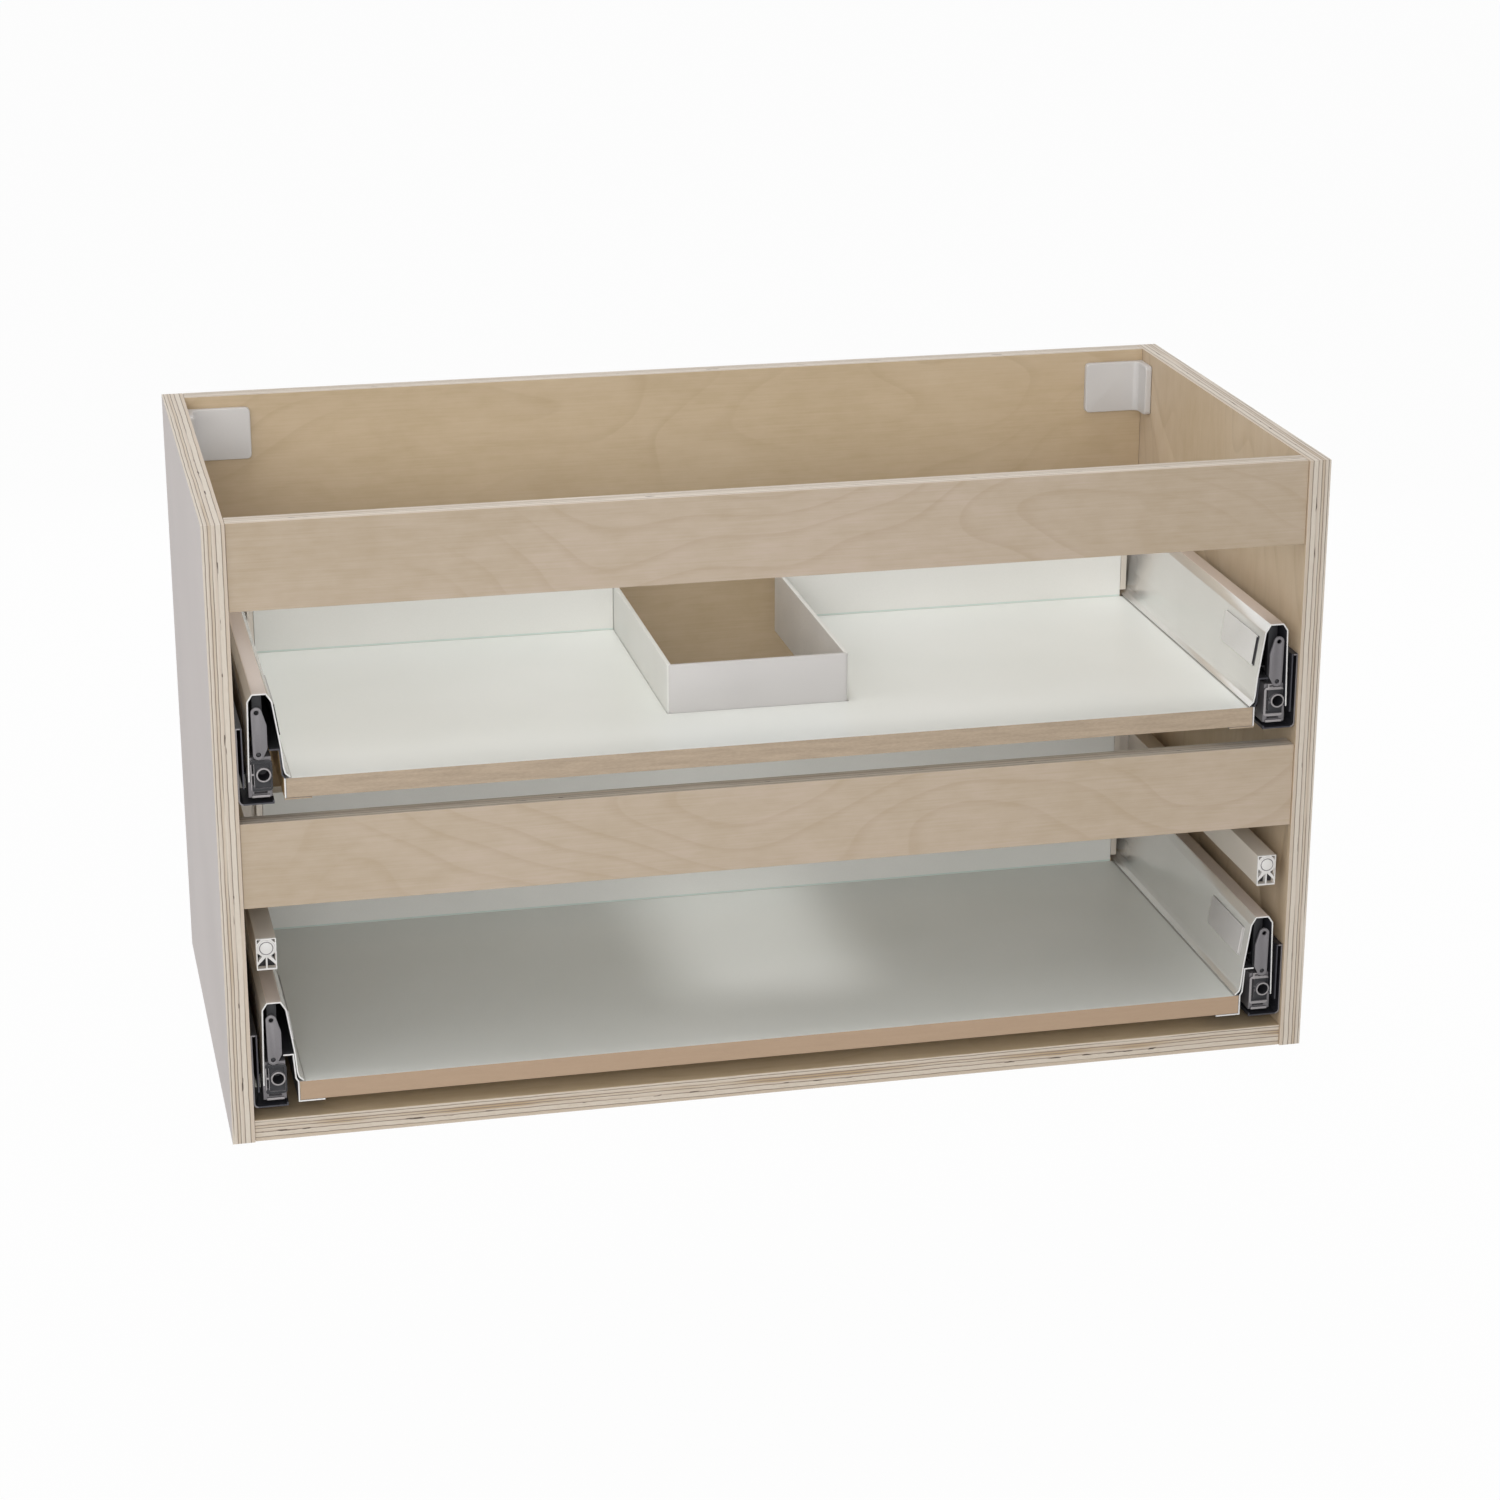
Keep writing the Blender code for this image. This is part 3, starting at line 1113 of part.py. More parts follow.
def build_drawer(level, lift, back_height, has_recess, has_gallery, carcass, finishes):
    """One drawer with its own runners and carriages."""
    drawer = empty(f"{level}_drawer", (0, 0, lift), carcass)
    carriages = empty(f"{level}_carriages", (0, 0, lift), carcass)
    drawer_floor(f"{level}_drawer_floor", has_recess, drawer, finishes)
    drawer_backs(level, back_height, has_recess, drawer, finishes)
    for side, label in SIDES:
        runner(side, f"{level}_runner_{label}", lift, carcass, finishes)
        carriage(side, f"{level}_carriage_{label}", carriages, finishes)
        metal_side(side, f"{level}_metal_side_{label}", drawer, finishes)
        floor_carrier(side, f"{level}_floor_carrier_{label}", drawer, finishes)
        front_bracket(side, f"{level}_front_bracket_{label}", drawer, finishes)
        lock_lever(side, f"{level}_lock_lever_{label}", drawer, finishes)
        rear_name = f"{level}_rear_bracket_{label}"
        rear_bracket(side, rear_name, has_gallery, drawer, finishes)
        roller(side, f"{level}_roller_{label}", carriages, finishes)
        cover_cap(side, f"{level}_cover_cap_{label}", drawer, finishes)
        if has_gallery:
            gallery_rail(side, f"{level}_gallery_rail_{label}", drawer, finishes)
            gallery_plug(side, f"{level}_gallery_plug_{label}", drawer, finishes)
    if has_recess:
        siphon_recess(drawer, finishes)


def main():
    """Builds the whole cabinet."""
    clear_scene()
    finishes = Finishes()
    wall = empty("wall_face", (0, 0, 0))
    carcass = empty("carcass", (0, -DEPTH, -HEIGHT / 2), wall)
    carcass_boards(carcass, finishes)
    for side, label in SIDES:
        hanger_cover(side, label, carcass, finishes)
        hanger_housing(side, label, carcass, finishes)
        hanger_hook(side, label, carcass, finishes)
    build_drawer("upper", UPPER_DRAWER_LIFT, UPPER_BACK_HEIGHT, True, False, carcass, finishes)
    build_drawer("lower", LOWER_DRAWER_LIFT, LOWER_BACK_HEIGHT, False, True, carcass, finishes)


main()
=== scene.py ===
# %% [markdown]
# # A wall-hung drawer cabinet
# This lesson dresses a finished mechanical model of a bathroom cabinet: a birch plywood
# carcass with two metal-sided drawers, hung on a wall and still without its drawer fronts.
# The mechanical model is loaded first and never moved. Each visible piece is then made
# in mesh code around it, given a material, and tied to the body that it travels with.

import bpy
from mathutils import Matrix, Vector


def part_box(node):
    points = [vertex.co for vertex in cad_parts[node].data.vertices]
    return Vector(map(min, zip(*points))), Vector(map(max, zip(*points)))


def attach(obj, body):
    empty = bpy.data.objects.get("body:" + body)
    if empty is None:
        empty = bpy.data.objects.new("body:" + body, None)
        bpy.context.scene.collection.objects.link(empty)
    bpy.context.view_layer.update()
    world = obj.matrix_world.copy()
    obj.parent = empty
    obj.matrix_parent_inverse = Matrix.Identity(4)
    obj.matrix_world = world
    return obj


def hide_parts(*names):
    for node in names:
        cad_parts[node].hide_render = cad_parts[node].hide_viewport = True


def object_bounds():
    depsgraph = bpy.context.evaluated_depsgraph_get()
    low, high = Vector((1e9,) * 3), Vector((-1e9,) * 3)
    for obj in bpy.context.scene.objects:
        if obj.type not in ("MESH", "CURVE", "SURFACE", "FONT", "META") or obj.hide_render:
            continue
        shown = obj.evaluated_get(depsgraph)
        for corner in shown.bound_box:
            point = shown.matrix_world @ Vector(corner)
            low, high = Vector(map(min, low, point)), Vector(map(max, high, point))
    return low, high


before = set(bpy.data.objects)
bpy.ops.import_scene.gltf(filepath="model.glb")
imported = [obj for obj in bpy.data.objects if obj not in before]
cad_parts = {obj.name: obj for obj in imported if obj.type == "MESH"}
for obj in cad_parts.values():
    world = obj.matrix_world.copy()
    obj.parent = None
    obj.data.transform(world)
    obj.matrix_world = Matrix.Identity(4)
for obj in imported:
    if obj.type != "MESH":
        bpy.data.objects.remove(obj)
cad_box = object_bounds()

# %% The other modules
from functools import partial
from math import pi, radians

import bmesh
import bpy
from mathutils import Matrix, Vector

MM = 0.001
WELD = 0.01 * MM  # vertices closer than this are one
FACING = 0.7  # a face looks along an axis when its normal's share of it is larger

# %% [markdown]
# ## Camera
# The photograph is taken from the left, a little above the cabinet, with a long lens.
# A long lens keeps the verticals almost upright, as furniture pictures usually want.

# %% Place the camera
LENS = 84.73
EYE = Vector((-0.6106, -3.0132, 0.9640))
GAZE = Vector((0.20811, 0.92139, -0.32821))

lens = bpy.data.cameras.new("camera")
lens.lens = LENS
camera = bpy.data.objects.new("camera", lens)
camera.location = EYE
camera.rotation_euler = GAZE.to_track_quat("-Z", "Y").to_euler()
bpy.context.scene.collection.objects.link(camera)
bpy.context.scene.camera = camera
bpy.context.scene.view_settings.view_transform = "Standard"
print(f"camera {EYE.length:.2f} m from the wall fixing, lens {LENS} mm")

# %% [markdown]
# ## Sizes read from the frame
# A few places serve every drawer fitting: the inner face of the side panels, the front
# edge of the carcass and the underside of each drawer's floor. Reading them from the
# frame, and counting insets from the side panels, lets one number serve both sides.

# %% Read the frame's main places
SIDES = {"left": -1, "right": 1}
LEVELS = ("upper", "lower")
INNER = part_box("right_side_panel")[0].x
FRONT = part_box("right_side_panel")[0].y
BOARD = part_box("right_side_panel")[1].x - INNER
FITTINGS = [(level, side) for level in LEVELS for side in SIDES]
UNDERSIDE = {level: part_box(f"{level}_drawer_floor")[0].z for level in LEVELS}


def spot(side, level, inset, depth, height):
    """A point of a drawer fitting: inset from the side panel, depth from the front edge."""
    return Vector((
        SIDES[side] * (INNER - inset * MM),
        FRONT + depth * MM,
        UNDERSIDE[level] + height * MM,
    ))


print(f"side panels' inner faces at x = {INNER:.3f}, board {BOARD / MM:.0f} mm")

# %% [markdown]
# ## Shader sums as Python
# A material's pattern is a sum of small steps, and each step is a node. Wrapping a
# socket in a class with operators lets the sum be written as it would be on paper, so
# that `1 - mask` adds a Math node. Every other node comes from one method.

# %% A socket with operators


class Wire:
    """An output socket: arithmetic on it adds Math nodes to its graph."""

    def __init__(self, graph, socket):
        self.graph = graph
        self.socket = socket

    def maths(self, operation, *values):
        return self.graph.maths(operation, self, *values)

    def __add__(self, other):
        return self.maths("ADD", other)

    def __radd__(self, other):
        return self.graph.maths("ADD", other, self)

    def __sub__(self, other):
        return self.maths("SUBTRACT", other)

    def __rsub__(self, other):
        return self.graph.maths("SUBTRACT", other, self)

    def __mul__(self, other):
        return self.maths("MULTIPLY", other)

    def __rmul__(self, other):
        return self.graph.maths("MULTIPLY", other, self)

    def __truediv__(self, other):
        return self.maths("DIVIDE", other)

    def __abs__(self):
        return self.maths("ABSOLUTE")

    def fraction(self):
        return self.maths("FRACT")

    def ease(self, low, high):
        """0 below low and 1 above high, with a soft step between them."""
        sockets = {"Value": self, "From Min": low, "From Max": high}
        settings = {"interpolation_type": "SMOOTHSTEP"}
        return self.graph.node("ShaderNodeMapRange", settings, sockets)["Result"]


# %% A node tree, and a material built up in one


class Graph:
    """A node tree, and the steps that a pattern is made of."""

    def __init__(self, tree):
        self.tree = tree

    def node(self, kind, settings=None, sockets=None):
        """Adds a node, sets it up, fills its sockets and returns its outputs by name."""
        node = self.tree.nodes.new(kind)
        for label, value in (settings or {}).items():
            if label == "stops":
                self.set_stops(node.color_ramp, value)
            else:
                setattr(node, label, value)
        for label, value in (sockets or {}).items():
            if isinstance(label, int):
                socket = node.inputs[label]
            else:
                socket = next(s for s in node.inputs if s.enabled and s.name == label)
            if isinstance(value, Wire):
                self.tree.links.new(value.socket, socket)
            else:
                socket.default_value = value
        return {s.name: Wire(self, s) for s in node.outputs if s.enabled}

    @staticmethod
    def set_stops(ramp, stops):
        """Colours along a ramp, as pairs of a place from 0 to 1 and a colour."""
        while len(ramp.elements) < len(stops):
            ramp.elements.new(1.0)
        for element, (place, colour) in zip(ramp.elements, stops):
            element.position = place
            element.color = colour

    def maths(self, operation, *values):
        outputs = self.node("ShaderNodeMath", {"operation": operation}, dict(enumerate(values)))
        return outputs["Value"]


class Recipe(Graph):
    """A material: constants on its Principled shader, and wires that feed it."""

    def __init__(self, name, **constants):
        self.material = bpy.data.materials.new(name)
        self.material.use_nodes = True
        super().__init__(self.material.node_tree)
        self.shader = self.tree.nodes["Principled BSDF"]
        for label, value in constants.items():
            self.shader.inputs[label.replace("_", " ").title()].default_value = value

    def place(self, location=(0, 0, 0), scale=(1, 1, 1)):
        """The surface's place in its own frame, shifted and scaled."""
        own = self.node("ShaderNodeTexCoord")["Object"]
        sockets = {"Vector": own, "Location": location, "Scale": scale}
        return self.node("ShaderNodeMapping", None, sockets)["Vector"]

    def noise(self, place, scale, detail=2.0, roughness=0.5):
        sockets = {"Vector": place, "Scale": scale, "Detail": detail, "Roughness": roughness}
        return self.node("ShaderNodeTexNoise", None, sockets)["Fac"]

    def split(self, place):
        """The three numbers of a place."""
        parts = self.node("ShaderNodeSeparateXYZ", None, {"Vector": place})
        return parts["X"], parts["Y"], parts["Z"]

    def ramp(self, value, *stops):
        return self.node("ShaderNodeValToRGB", {"stops": stops}, {"Fac": value})["Color"]

    def tone(self, value, dark, light):
        """A colour between two screen colours, for a value about one half."""
        return self.ramp(value, (0.3, screen(*dark)), (0.7, screen(*light)))

    def mix(self, share, first, second):
        """The first colour where the share is 0 and the second where it is 1."""
        sockets = {"Factor": share, "A": first, "B": second}
        return self.node("ShaderNodeMix", {"data_type": "RGBA"}, sockets)["Result"]

    def feed(self, label, wire):
        self.tree.links.new(wire.socket, self.shader.inputs[label])

    def bump(self, height, depth):
        """Fine relief: height runs from 0 to 1 over a depth in metres."""
        sockets = {"Height": height, "Distance": depth}
        self.feed("Normal", self.node("ShaderNodeBump", None, sockets)["Normal"])


def screen(red, green, blue):
    """A shader's colour from the 0 to 255 numbers that a screen shows."""
    channels = []
    for value in (red, green, blue):
        share = value / 255
        channels.append(share / 12.92 if share <= 0.04045 else ((share + 0.055) / 1.055) ** 2.4)
    return (*channels, 1.0)


print("a mid grey of 188 is", round(screen(188, 188, 188)[0], 2), "to the shader")

# %% [markdown]
# ## Birch veneer
# The plywood's face is peeled birch: a pale pinkish tan with fine fibres along the board,
# and a few soft brown year rings that bend into long loops. The rings are the contour
# lines of a slow noise, added to a steady climb across the grain. Each ring darkens
# gently and then stops sharply, as late wood does, so it is the last part of a fraction.

# %% Mix the veneer


def birch_veneer(name, grain, dark, middle, light):
    """Birch face veneer whose grain runs along the axis numbered 0, 1 or 2."""
    recipe = Recipe(name)
    along, fine = [5.0, 5.0, 5.0], [800.0, 800.0, 800.0]
    along[grain] = 2.6
    fine[grain] = 22.0
    ways = recipe.split(recipe.place())
    climb = sum(way for axis, way in enumerate(ways) if axis != grain)
    bend = recipe.noise(recipe.place((0.3, 0.1, 0.2), along), 1.0, 2.0, 0.36)
    rings = (climb * 24.0 + bend * 17.0).fraction()
    late = rings.ease(0.66, 0.94) * (1 - rings.ease(0.94, 1.0))
    clouds = recipe.noise(recipe.place((0.7, 0.4, 0.5), along), 1.3, 2.0)
    late = late * clouds.ease(0.34, 0.56)
    fibres = recipe.noise(recipe.place((0, 0, 0), fine), 1.0, 2.0, 0.6)
    streaks = recipe.noise(recipe.place((0.5, 0.9, 0.1), along), 14.0, 3.0, 0.6)
    tone = 0.45 * clouds + 0.3 * streaks + 0.25 * fibres
    face = recipe.ramp(
        tone, (0.34, screen(*dark)), (0.5, screen(*middle)), (0.66, screen(*light)),
    )
    recipe.feed("Base Color", recipe.mix(late * 0.15, face, screen(142, 118, 80)))
    recipe.feed("Roughness", 0.5 + 0.14 * fibres)
    recipe.bump(fibres, 0.00005)
    return recipe.material


veneer_along_x = birch_veneer(
    "birch_veneer_along_x", 0, (167, 149, 125), (176, 159, 138), (184, 167, 150),
)
# A warmer, more yellow copy for the back and bottom boards: painted bounce light from the wood
# round them.
veneer_painted_bounce = birch_veneer(
    "birch_veneer_painted_bounce", 0, (180, 159, 127), (189, 168, 138), (195, 175, 147),
)
veneer_along_z = birch_veneer(
    "birch_veneer_along_z", 2, (184, 163, 134), (193, 173, 147), (199, 181, 158),
)
print("veneers:", veneer_along_x.name, veneer_painted_bounce.name, veneer_along_z.name)

# %% [markdown]
# ## The plywood's cut edge
# An 18 mm board is a stack of veneers whose grain alternates. A cut edge shows them as
# cream and light brown bands of uneven width, parted by thin dark glue lines that waver
# and fade. A ramp holds the bands' colours, looked up by the depth in the board, and each
# glue line is a mask on that depth. A slow noise added to it makes the lines wander. Some
# stretches are golden brown, most of all on the bottom board, and a glue line has voids.

# %% Mix the plies

CREAM, PINK = screen(208, 199, 187), screen(198, 185, 172)
TAN, BROWN = screen(194, 180, 163), screen(170, 148, 120)
BOARD_TAN = screen(182, 164, 138)
BANDS = (
    (0.0, PINK), (0.14, TAN), (0.2, CREAM), (0.36, CREAM), (0.46, PINK),
    (0.56, CREAM), (0.68, TAN), (0.76, PINK), (0.85, CREAM), (1.0, CREAM),
)
GLUE_LINES = (0.17, 0.41, 0.6, 0.73, 0.9)
VOID_LINE, PATCH_LAYER = 0.41, 0.64


def plywood_edge(name, axis, start, patchy=0.4):
    """The banded edge of a board whose thickness runs along an axis, from a start on it."""
    recipe = Recipe(name, roughness=0.65)
    own = recipe.place()
    depth = recipe.split(own)[axis]
    if axis == 0:
        depth = abs(depth)
    wander = recipe.noise(own, 7.0, 2.0) - 0.5
    quiver = recipe.noise(own, 55.0, 2.0) - 0.5
    layer = (depth - start) / BOARD + 0.13 * wander + 0.045 * quiver
    bands = recipe.ramp(layer, *BANDS)
    lines = 0
    for number, line in enumerate(GLUE_LINES):
        fade = recipe.noise(recipe.place((0.37 * number, 0.2, 0.1)), 11.0, 2.0)
        near = 1 - abs(layer - line).ease(0.012, 0.028)
        lines = near * fade.ease(0.26, 0.5) + lines
    grain = [170.0, 170.0, 170.0]
    grain[axis] = 1100.0
    streaks = recipe.noise(recipe.place((0, 0, 0), grain), 1.0, 3.0, 0.6)
    knots = [55.0, 55.0, 55.0]
    knots[axis] = 300.0
    voids = recipe.noise(recipe.place((0.2, 0.4, 0.2), knots), 1.0, 2.0).ease(0.63, 0.67)
    voids = voids * (1 - abs(layer - VOID_LINE).ease(0.02, 0.06))
    patches = recipe.noise(recipe.place((0.6, 0.1, 0.8)), 6.0, 2.0)
    patches = patches.ease(0.54 - 0.12 * patchy, 0.68 - 0.12 * patchy)
    beside = abs(layer - PATCH_LAYER).ease(0.06 * patchy + 0.04, 0.08 * patchy + 0.06)
    patches = patches * (1 - beside)
    colour = recipe.mix(0.3 * patchy, bands, BOARD_TAN)
    colour = recipe.mix(patches * patchy, colour, BROWN)
    brown_share = streaks.ease(0.4, 0.8) * (0.1 + 0.25 * patchy)
    colour = recipe.mix(brown_share, colour, BROWN)
    colour = recipe.mix(lines * 0.85, colour, screen(118, 105, 94))
    recipe.feed("Base Color", recipe.mix(voids, colour, screen(74, 60, 50)))
    recipe.bump(streaks - lines - voids, 0.00008)
    return recipe.material


edge_of_sides = plywood_edge("plywood_edge_of_sides", 0, INNER)
edge_of_rails = plywood_edge("plywood_edge_of_rails", 1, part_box("middle_rail")[0].y)
edge_of_back = plywood_edge("plywood_edge_of_back", 1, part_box("back_panel")[0].y)
edge_of_bottom = plywood_edge("plywood_edge_of_bottom", 2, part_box("bottom_panel")[0].z, 1.0)
print(f"{len(GLUE_LINES)} glue lines in {BOARD / MM:.0f} mm")

# %% [markdown]
# ## Coated and moulded surfaces
# The side panel's outer face is a smooth pinkish-grey coating, and the mouldings are
# satin plastic. Each gets a faint change of tone and gloss, because an even colour reads
# as computer-made, and a very fine relief that breaks up its highlights.

# %% Mix the plain finishes


def plain_finish(name, dark, light, cloud, grit, relief, roughness=0.4, **constants):
    """A nearly even surface: a slow change of tone, and fine grit in gloss and relief."""
    recipe = Recipe(name, **constants)
    own = recipe.place()
    clouds = recipe.noise(own, cloud, 2.0)
    grains = recipe.noise(own, grit, 3.0, 0.6)
    tone = 0.7 * clouds + 0.3 * grains
    recipe.feed("Base Color", recipe.tone(tone, dark, light))
    recipe.feed("Roughness", roughness - 0.08 + 0.16 * grains)
    recipe.bump(grains, relief)
    return recipe.material


grey_coating = plain_finish(
    "grey_coating", (190, 180, 176), (202, 192, 188), 4.0, 900.0, 0.00003, 0.42,
)
white_moulding = plain_finish(
    "white_moulding", (191, 188, 186), (200, 197, 195), 12.0, 1500.0, 0.00002, 0.36,
)
# A lighter copy of the white moulding: painted light on the siphon recess's side walls and the
# front wall's inner face.
moulding_painted_light = plain_finish(
    "moulding_painted_light", (222, 222, 217), (230, 230, 226), 12.0, 1500.0, 0.00002, 0.36,
)
cap_moulding = plain_finish(
    "cap_moulding", (208, 206, 203), (218, 216, 213), 20.0, 1500.0, 0.00002, 0.3,
)
nylon = plain_finish(
    "nylon", (218, 215, 206), (230, 228, 220), 40.0, 1800.0, 0.00002, 0.42,
)
print("plain finishes:", grey_coating.name, white_moulding.name)

# %% [markdown]
# ## White melamine
# The drawer boards are faced with white melamine. Where a back stands on its floor the
# edge band shows as a thin aqua line, and where a floor meets the metal sides there is
# a dark joint. Both lines are masks on the distance from the joint, mixed into the white.

# %% Mix the melamine

SIDE_LIP = 41.3 * MM

melamine = Recipe("white_melamine")
own = melamine.place()
across, depth, height = melamine.split(own)
clouds = melamine.noise(own, 7.0, 2.0)
grit = melamine.noise(own, 700.0, 3.0, 0.6)
colour = melamine.tone(0.7 * clouds + 0.3 * grit, (226, 226, 221), (234, 233, 229))
for level in LEVELS:
    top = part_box(f"{level}_drawer_floor")[1].z
    band = 1 - abs(height - (top + 0.9 * MM)).ease(0.4 * MM, 1.1 * MM)
    colour = melamine.mix(band * 0.32, colour, screen(150, 200, 188))
joint = abs(across).ease(INNER - SIDE_LIP - 1.2 * MM, INNER - SIDE_LIP - 0.6 * MM)
colour = melamine.mix(joint * 0.45, colour, screen(110, 98, 86))
melamine.feed("Base Color", colour)
melamine.feed("Roughness", 0.28 + 0.14 * grit)
melamine.bump(grit, 0.00002)
white_melamine = melamine.material
print("joint lines at the drawer backs and sides")

# %% [markdown]
# ## Brown board edges
# The front edges of both drawer floors carry no melamine. The upper one shows raw
# chipboard and wood tones, streaked lengthwise, and the lower one a plain tan strip.

# %% Mix the brown edges


def brown_edge(name, dark, light, contrast):
    """A board's brown front edge, streaked along X."""
    recipe = Recipe(name, roughness=0.6)
    streaks = recipe.noise(recipe.place((0.4, 0, 0), (22, 260, 260)), 1.0, 4.0, 0.6)
    chips = recipe.noise(recipe.place((0, 0, 0), (260, 900, 900)), 1.0, 2.0)
    tone = 0.5 + contrast * (0.65 * streaks + 0.35 * chips - 0.5)
    recipe.feed("Base Color", recipe.tone(tone, dark, light))
    recipe.bump(chips, 0.00008)
    return recipe.material


raw_edge = brown_edge("raw_board_edge", (152, 135, 115), (178, 159, 137), 1.1)
tan_edge = brown_edge("tan_board_edge", (161, 136, 112), (174, 149, 124), 0.5)
print("edges:", raw_edge.name, tan_edge.name)

# %% [markdown]
# ## Metal finishes
# The drawer sides are folded steel with a light, silvery coat that mirrors what is round
# it: white board on the inner slope, and wood on the top strip, which is painted tan as a
# reflection of it. Inside they are painted dark, as shade. The runners are nearly black, the
# brackets mid grey with a matt coat, and the hidden rails zinc plated, with the faint bands
# of rolling. The glints stand for wood that two shaded faces mirror. The bright cut edges,
# the runners' rims and the brackets' raised bars are painted highlights, and the tones of
# pockets, hollows, the plugs' grooves and the caps' edges are painted shade.

# %% Mix the metals


def painted_metal(name, dark, light, gloss, metallic):
    """Coated sheet: a fine-grained coat that shines through as far as it is metallic."""
    recipe = Recipe(name, metallic=metallic)
    own = recipe.place()
    grains = recipe.noise(own, 1300.0, 3.0, 0.6)
    clouds = recipe.noise(own, 9.0, 2.0)
    tone = 0.6 * clouds + 0.4 * grains
    recipe.feed("Base Color", recipe.tone(tone, dark, light))
    recipe.feed("Roughness", gloss - 0.05 + 0.1 * grains)
    recipe.bump(grains, 0.00001)
    return recipe.material


def rolled_zinc(name, dark, light, gloss):
    """Plated sheet, with faint bands along Y, the way that it was rolled."""
    recipe = Recipe(name, metallic=0.85)
    bands = recipe.noise(recipe.place((0, 0, 0), (900, 12, 900)), 1.0, 3.0, 0.6)
    clouds = recipe.noise(recipe.place(), 30.0, 2.0)
    tone = 0.5 * bands + 0.5 * clouds
    recipe.feed("Base Color", recipe.tone(tone, dark, light))
    recipe.feed("Roughness", gloss - 0.1 + 0.2 * bands)
    recipe.bump(bands, 0.00002)
    return recipe.material


side_paint = painted_metal("side_paint", (220, 219, 216), (230, 229, 226), 0.2, 0.6)
# Tan painted reflection of the wood round the drawer sides' top strip.
top_painted_reflection = painted_metal("side_top_strip", (194, 181, 171), (206, 193, 183), 0.3, 0.25)
# Dark painted shade for the drawer sides' insides and the upper carriers' cut ends above the
# floor.
side_inside = painted_metal("side_inside", (44, 44, 50), (56, 56, 62), 0.45, 0.3)
# Painted highlight for the drawer sides' rims and the carriers' cut ends.
edge_painted_highlight = painted_metal("bright_edge_painted_highlight", (212, 211, 209), (224, 223, 221), 0.4, 0.0)
runner_coat = painted_metal("runner_coat", (52, 52, 58), (66, 66, 72), 0.4, 0.5)
# Painted highlight on the brackets' raised bars.
bracket_rim = painted_metal("bracket_rim", (138, 134, 135), (154, 150, 150), 0.45, 0.2)
# Painted shade on the floor of a bracket's pocket.
bracket_pocket = painted_metal("bracket_pocket", (92, 90, 92), (106, 104, 106), 0.55, 0.1)
runner_glint = painted_metal("runner_glint", (150, 126, 96), (166, 142, 110), 0.3, 0.3)
carrier_glint = painted_metal("carrier_glint", (208, 172, 118), (220, 184, 130), 0.4, 0.0)
# Painted highlight on the runners' outer cut ends, and painted shade in the plugs' grooves.
runner_rim = painted_metal("runner_rim", (112, 108, 110), (128, 124, 126), 0.4, 0.3)
bracket_coat = painted_metal("bracket_coat", (104, 101, 104), (122, 119, 121), 0.5, 0.2)
gallery_coat = painted_metal("gallery_coat", (208, 199, 188), (218, 209, 198), 0.3, 0.2)
# Grey painted shade along the caps' upper edges.
cap_edge = painted_metal("cap_edge", (150, 147, 146), (166, 163, 162), 0.4, 0.0)
# Dark painted shade in bores, slots, pockets, the caps' front steps, and the brackets' pins and
# arms.
hollow_painted_shade = painted_metal("hollow_painted_shade", (24, 24, 28), (34, 34, 38), 0.6, 0.0)
carrier_zinc = rolled_zinc("carrier_zinc", (112, 112, 116), (134, 134, 138), 0.4)
zinc_plate = rolled_zinc("zinc_plate", (158, 158, 162), (184, 184, 188), 0.35)
print("metals:", side_paint.name, runner_coat.name, zinc_plate.name)

# %% [markdown]
# ## Helpers for solid pieces
# A piece starts as a simple shape from one of Blender's mesh operators. Cuts and joins
# use a Boolean modifier that is applied at once. Last, every sharp edge gets a small
# bevel, because no real edge is perfectly sharp and the bevel catches the light.

# %% Simple starting shapes


def block(low, high):
    """A box between two corners, from Blender's cube."""
    bm = bmesh.new()
    low, high = Vector(low), Vector(high)
    size = Vector(abs(value) for value in high - low)
    verts = bmesh.ops.create_cube(bm, size=1.0)["verts"]
    bmesh.ops.scale(bm, vec=size, verts=verts)
    bmesh.ops.translate(bm, vec=(low + high) / 2, verts=verts)
    return bm


def round_bar(start, end, radius, segments=48, bm=None):
    """A cylinder between two points, from Blender's cone."""
    bm = bm or bmesh.new()
    start, end = Vector(start), Vector(end)
    turn = (end - start).to_track_quat("Z", "Y").to_matrix().to_4x4()
    place = Matrix.Translation((start + end) / 2) @ turn
    bmesh.ops.create_cone(
        bm, cap_ends=True, segments=segments, radius1=radius, radius2=radius,
        depth=(end - start).length, matrix=place,
    )
    return bm


def moved(bm, made, step):
    """Moves the vertices among what an operator made."""
    verts = [part for part in made["geom"] if isinstance(part, bmesh.types.BMVert)]
    bmesh.ops.translate(bm, vec=step, verts=verts)
    return bm


def pulled(points, step):
    """A flat face through a few points, extruded by a step into a solid."""
    bm = bmesh.new()
    face = bm.faces.new([bm.verts.new(point) for point in points])
    made = bmesh.ops.extrude_face_region(bm, geom=[face], use_keep_orig=True)
    moved(bm, made, step)
    bmesh.ops.recalc_face_normals(bm, faces=bm.faces)
    return bm


def drawn(points, step):
    """A line through a few points, extruded by a step into a surface without thickness."""
    bm = bmesh.new()
    verts = [bm.verts.new(point) for point in points]
    edges = [bm.edges.new(pair) for pair in zip(verts, verts[1:])]
    return moved(bm, bmesh.ops.extrude_edge_only(bm, edges=edges), step)


def flattened(bm):
    """Merges neighbouring faces that lie in one plane."""
    bmesh.ops.dissolve_limit(
        bm, angle_limit=radians(1), verts=bm.verts, edges=bm.edges,
        use_dissolve_boundaries=False, delimit=set(),
    )
    return bm


def welded(bm):
    """Merges the vertices that lie on each other, and then the flat faces."""
    bmesh.ops.remove_doubles(bm, verts=bm.verts, dist=WELD)
    return flattened(bm)


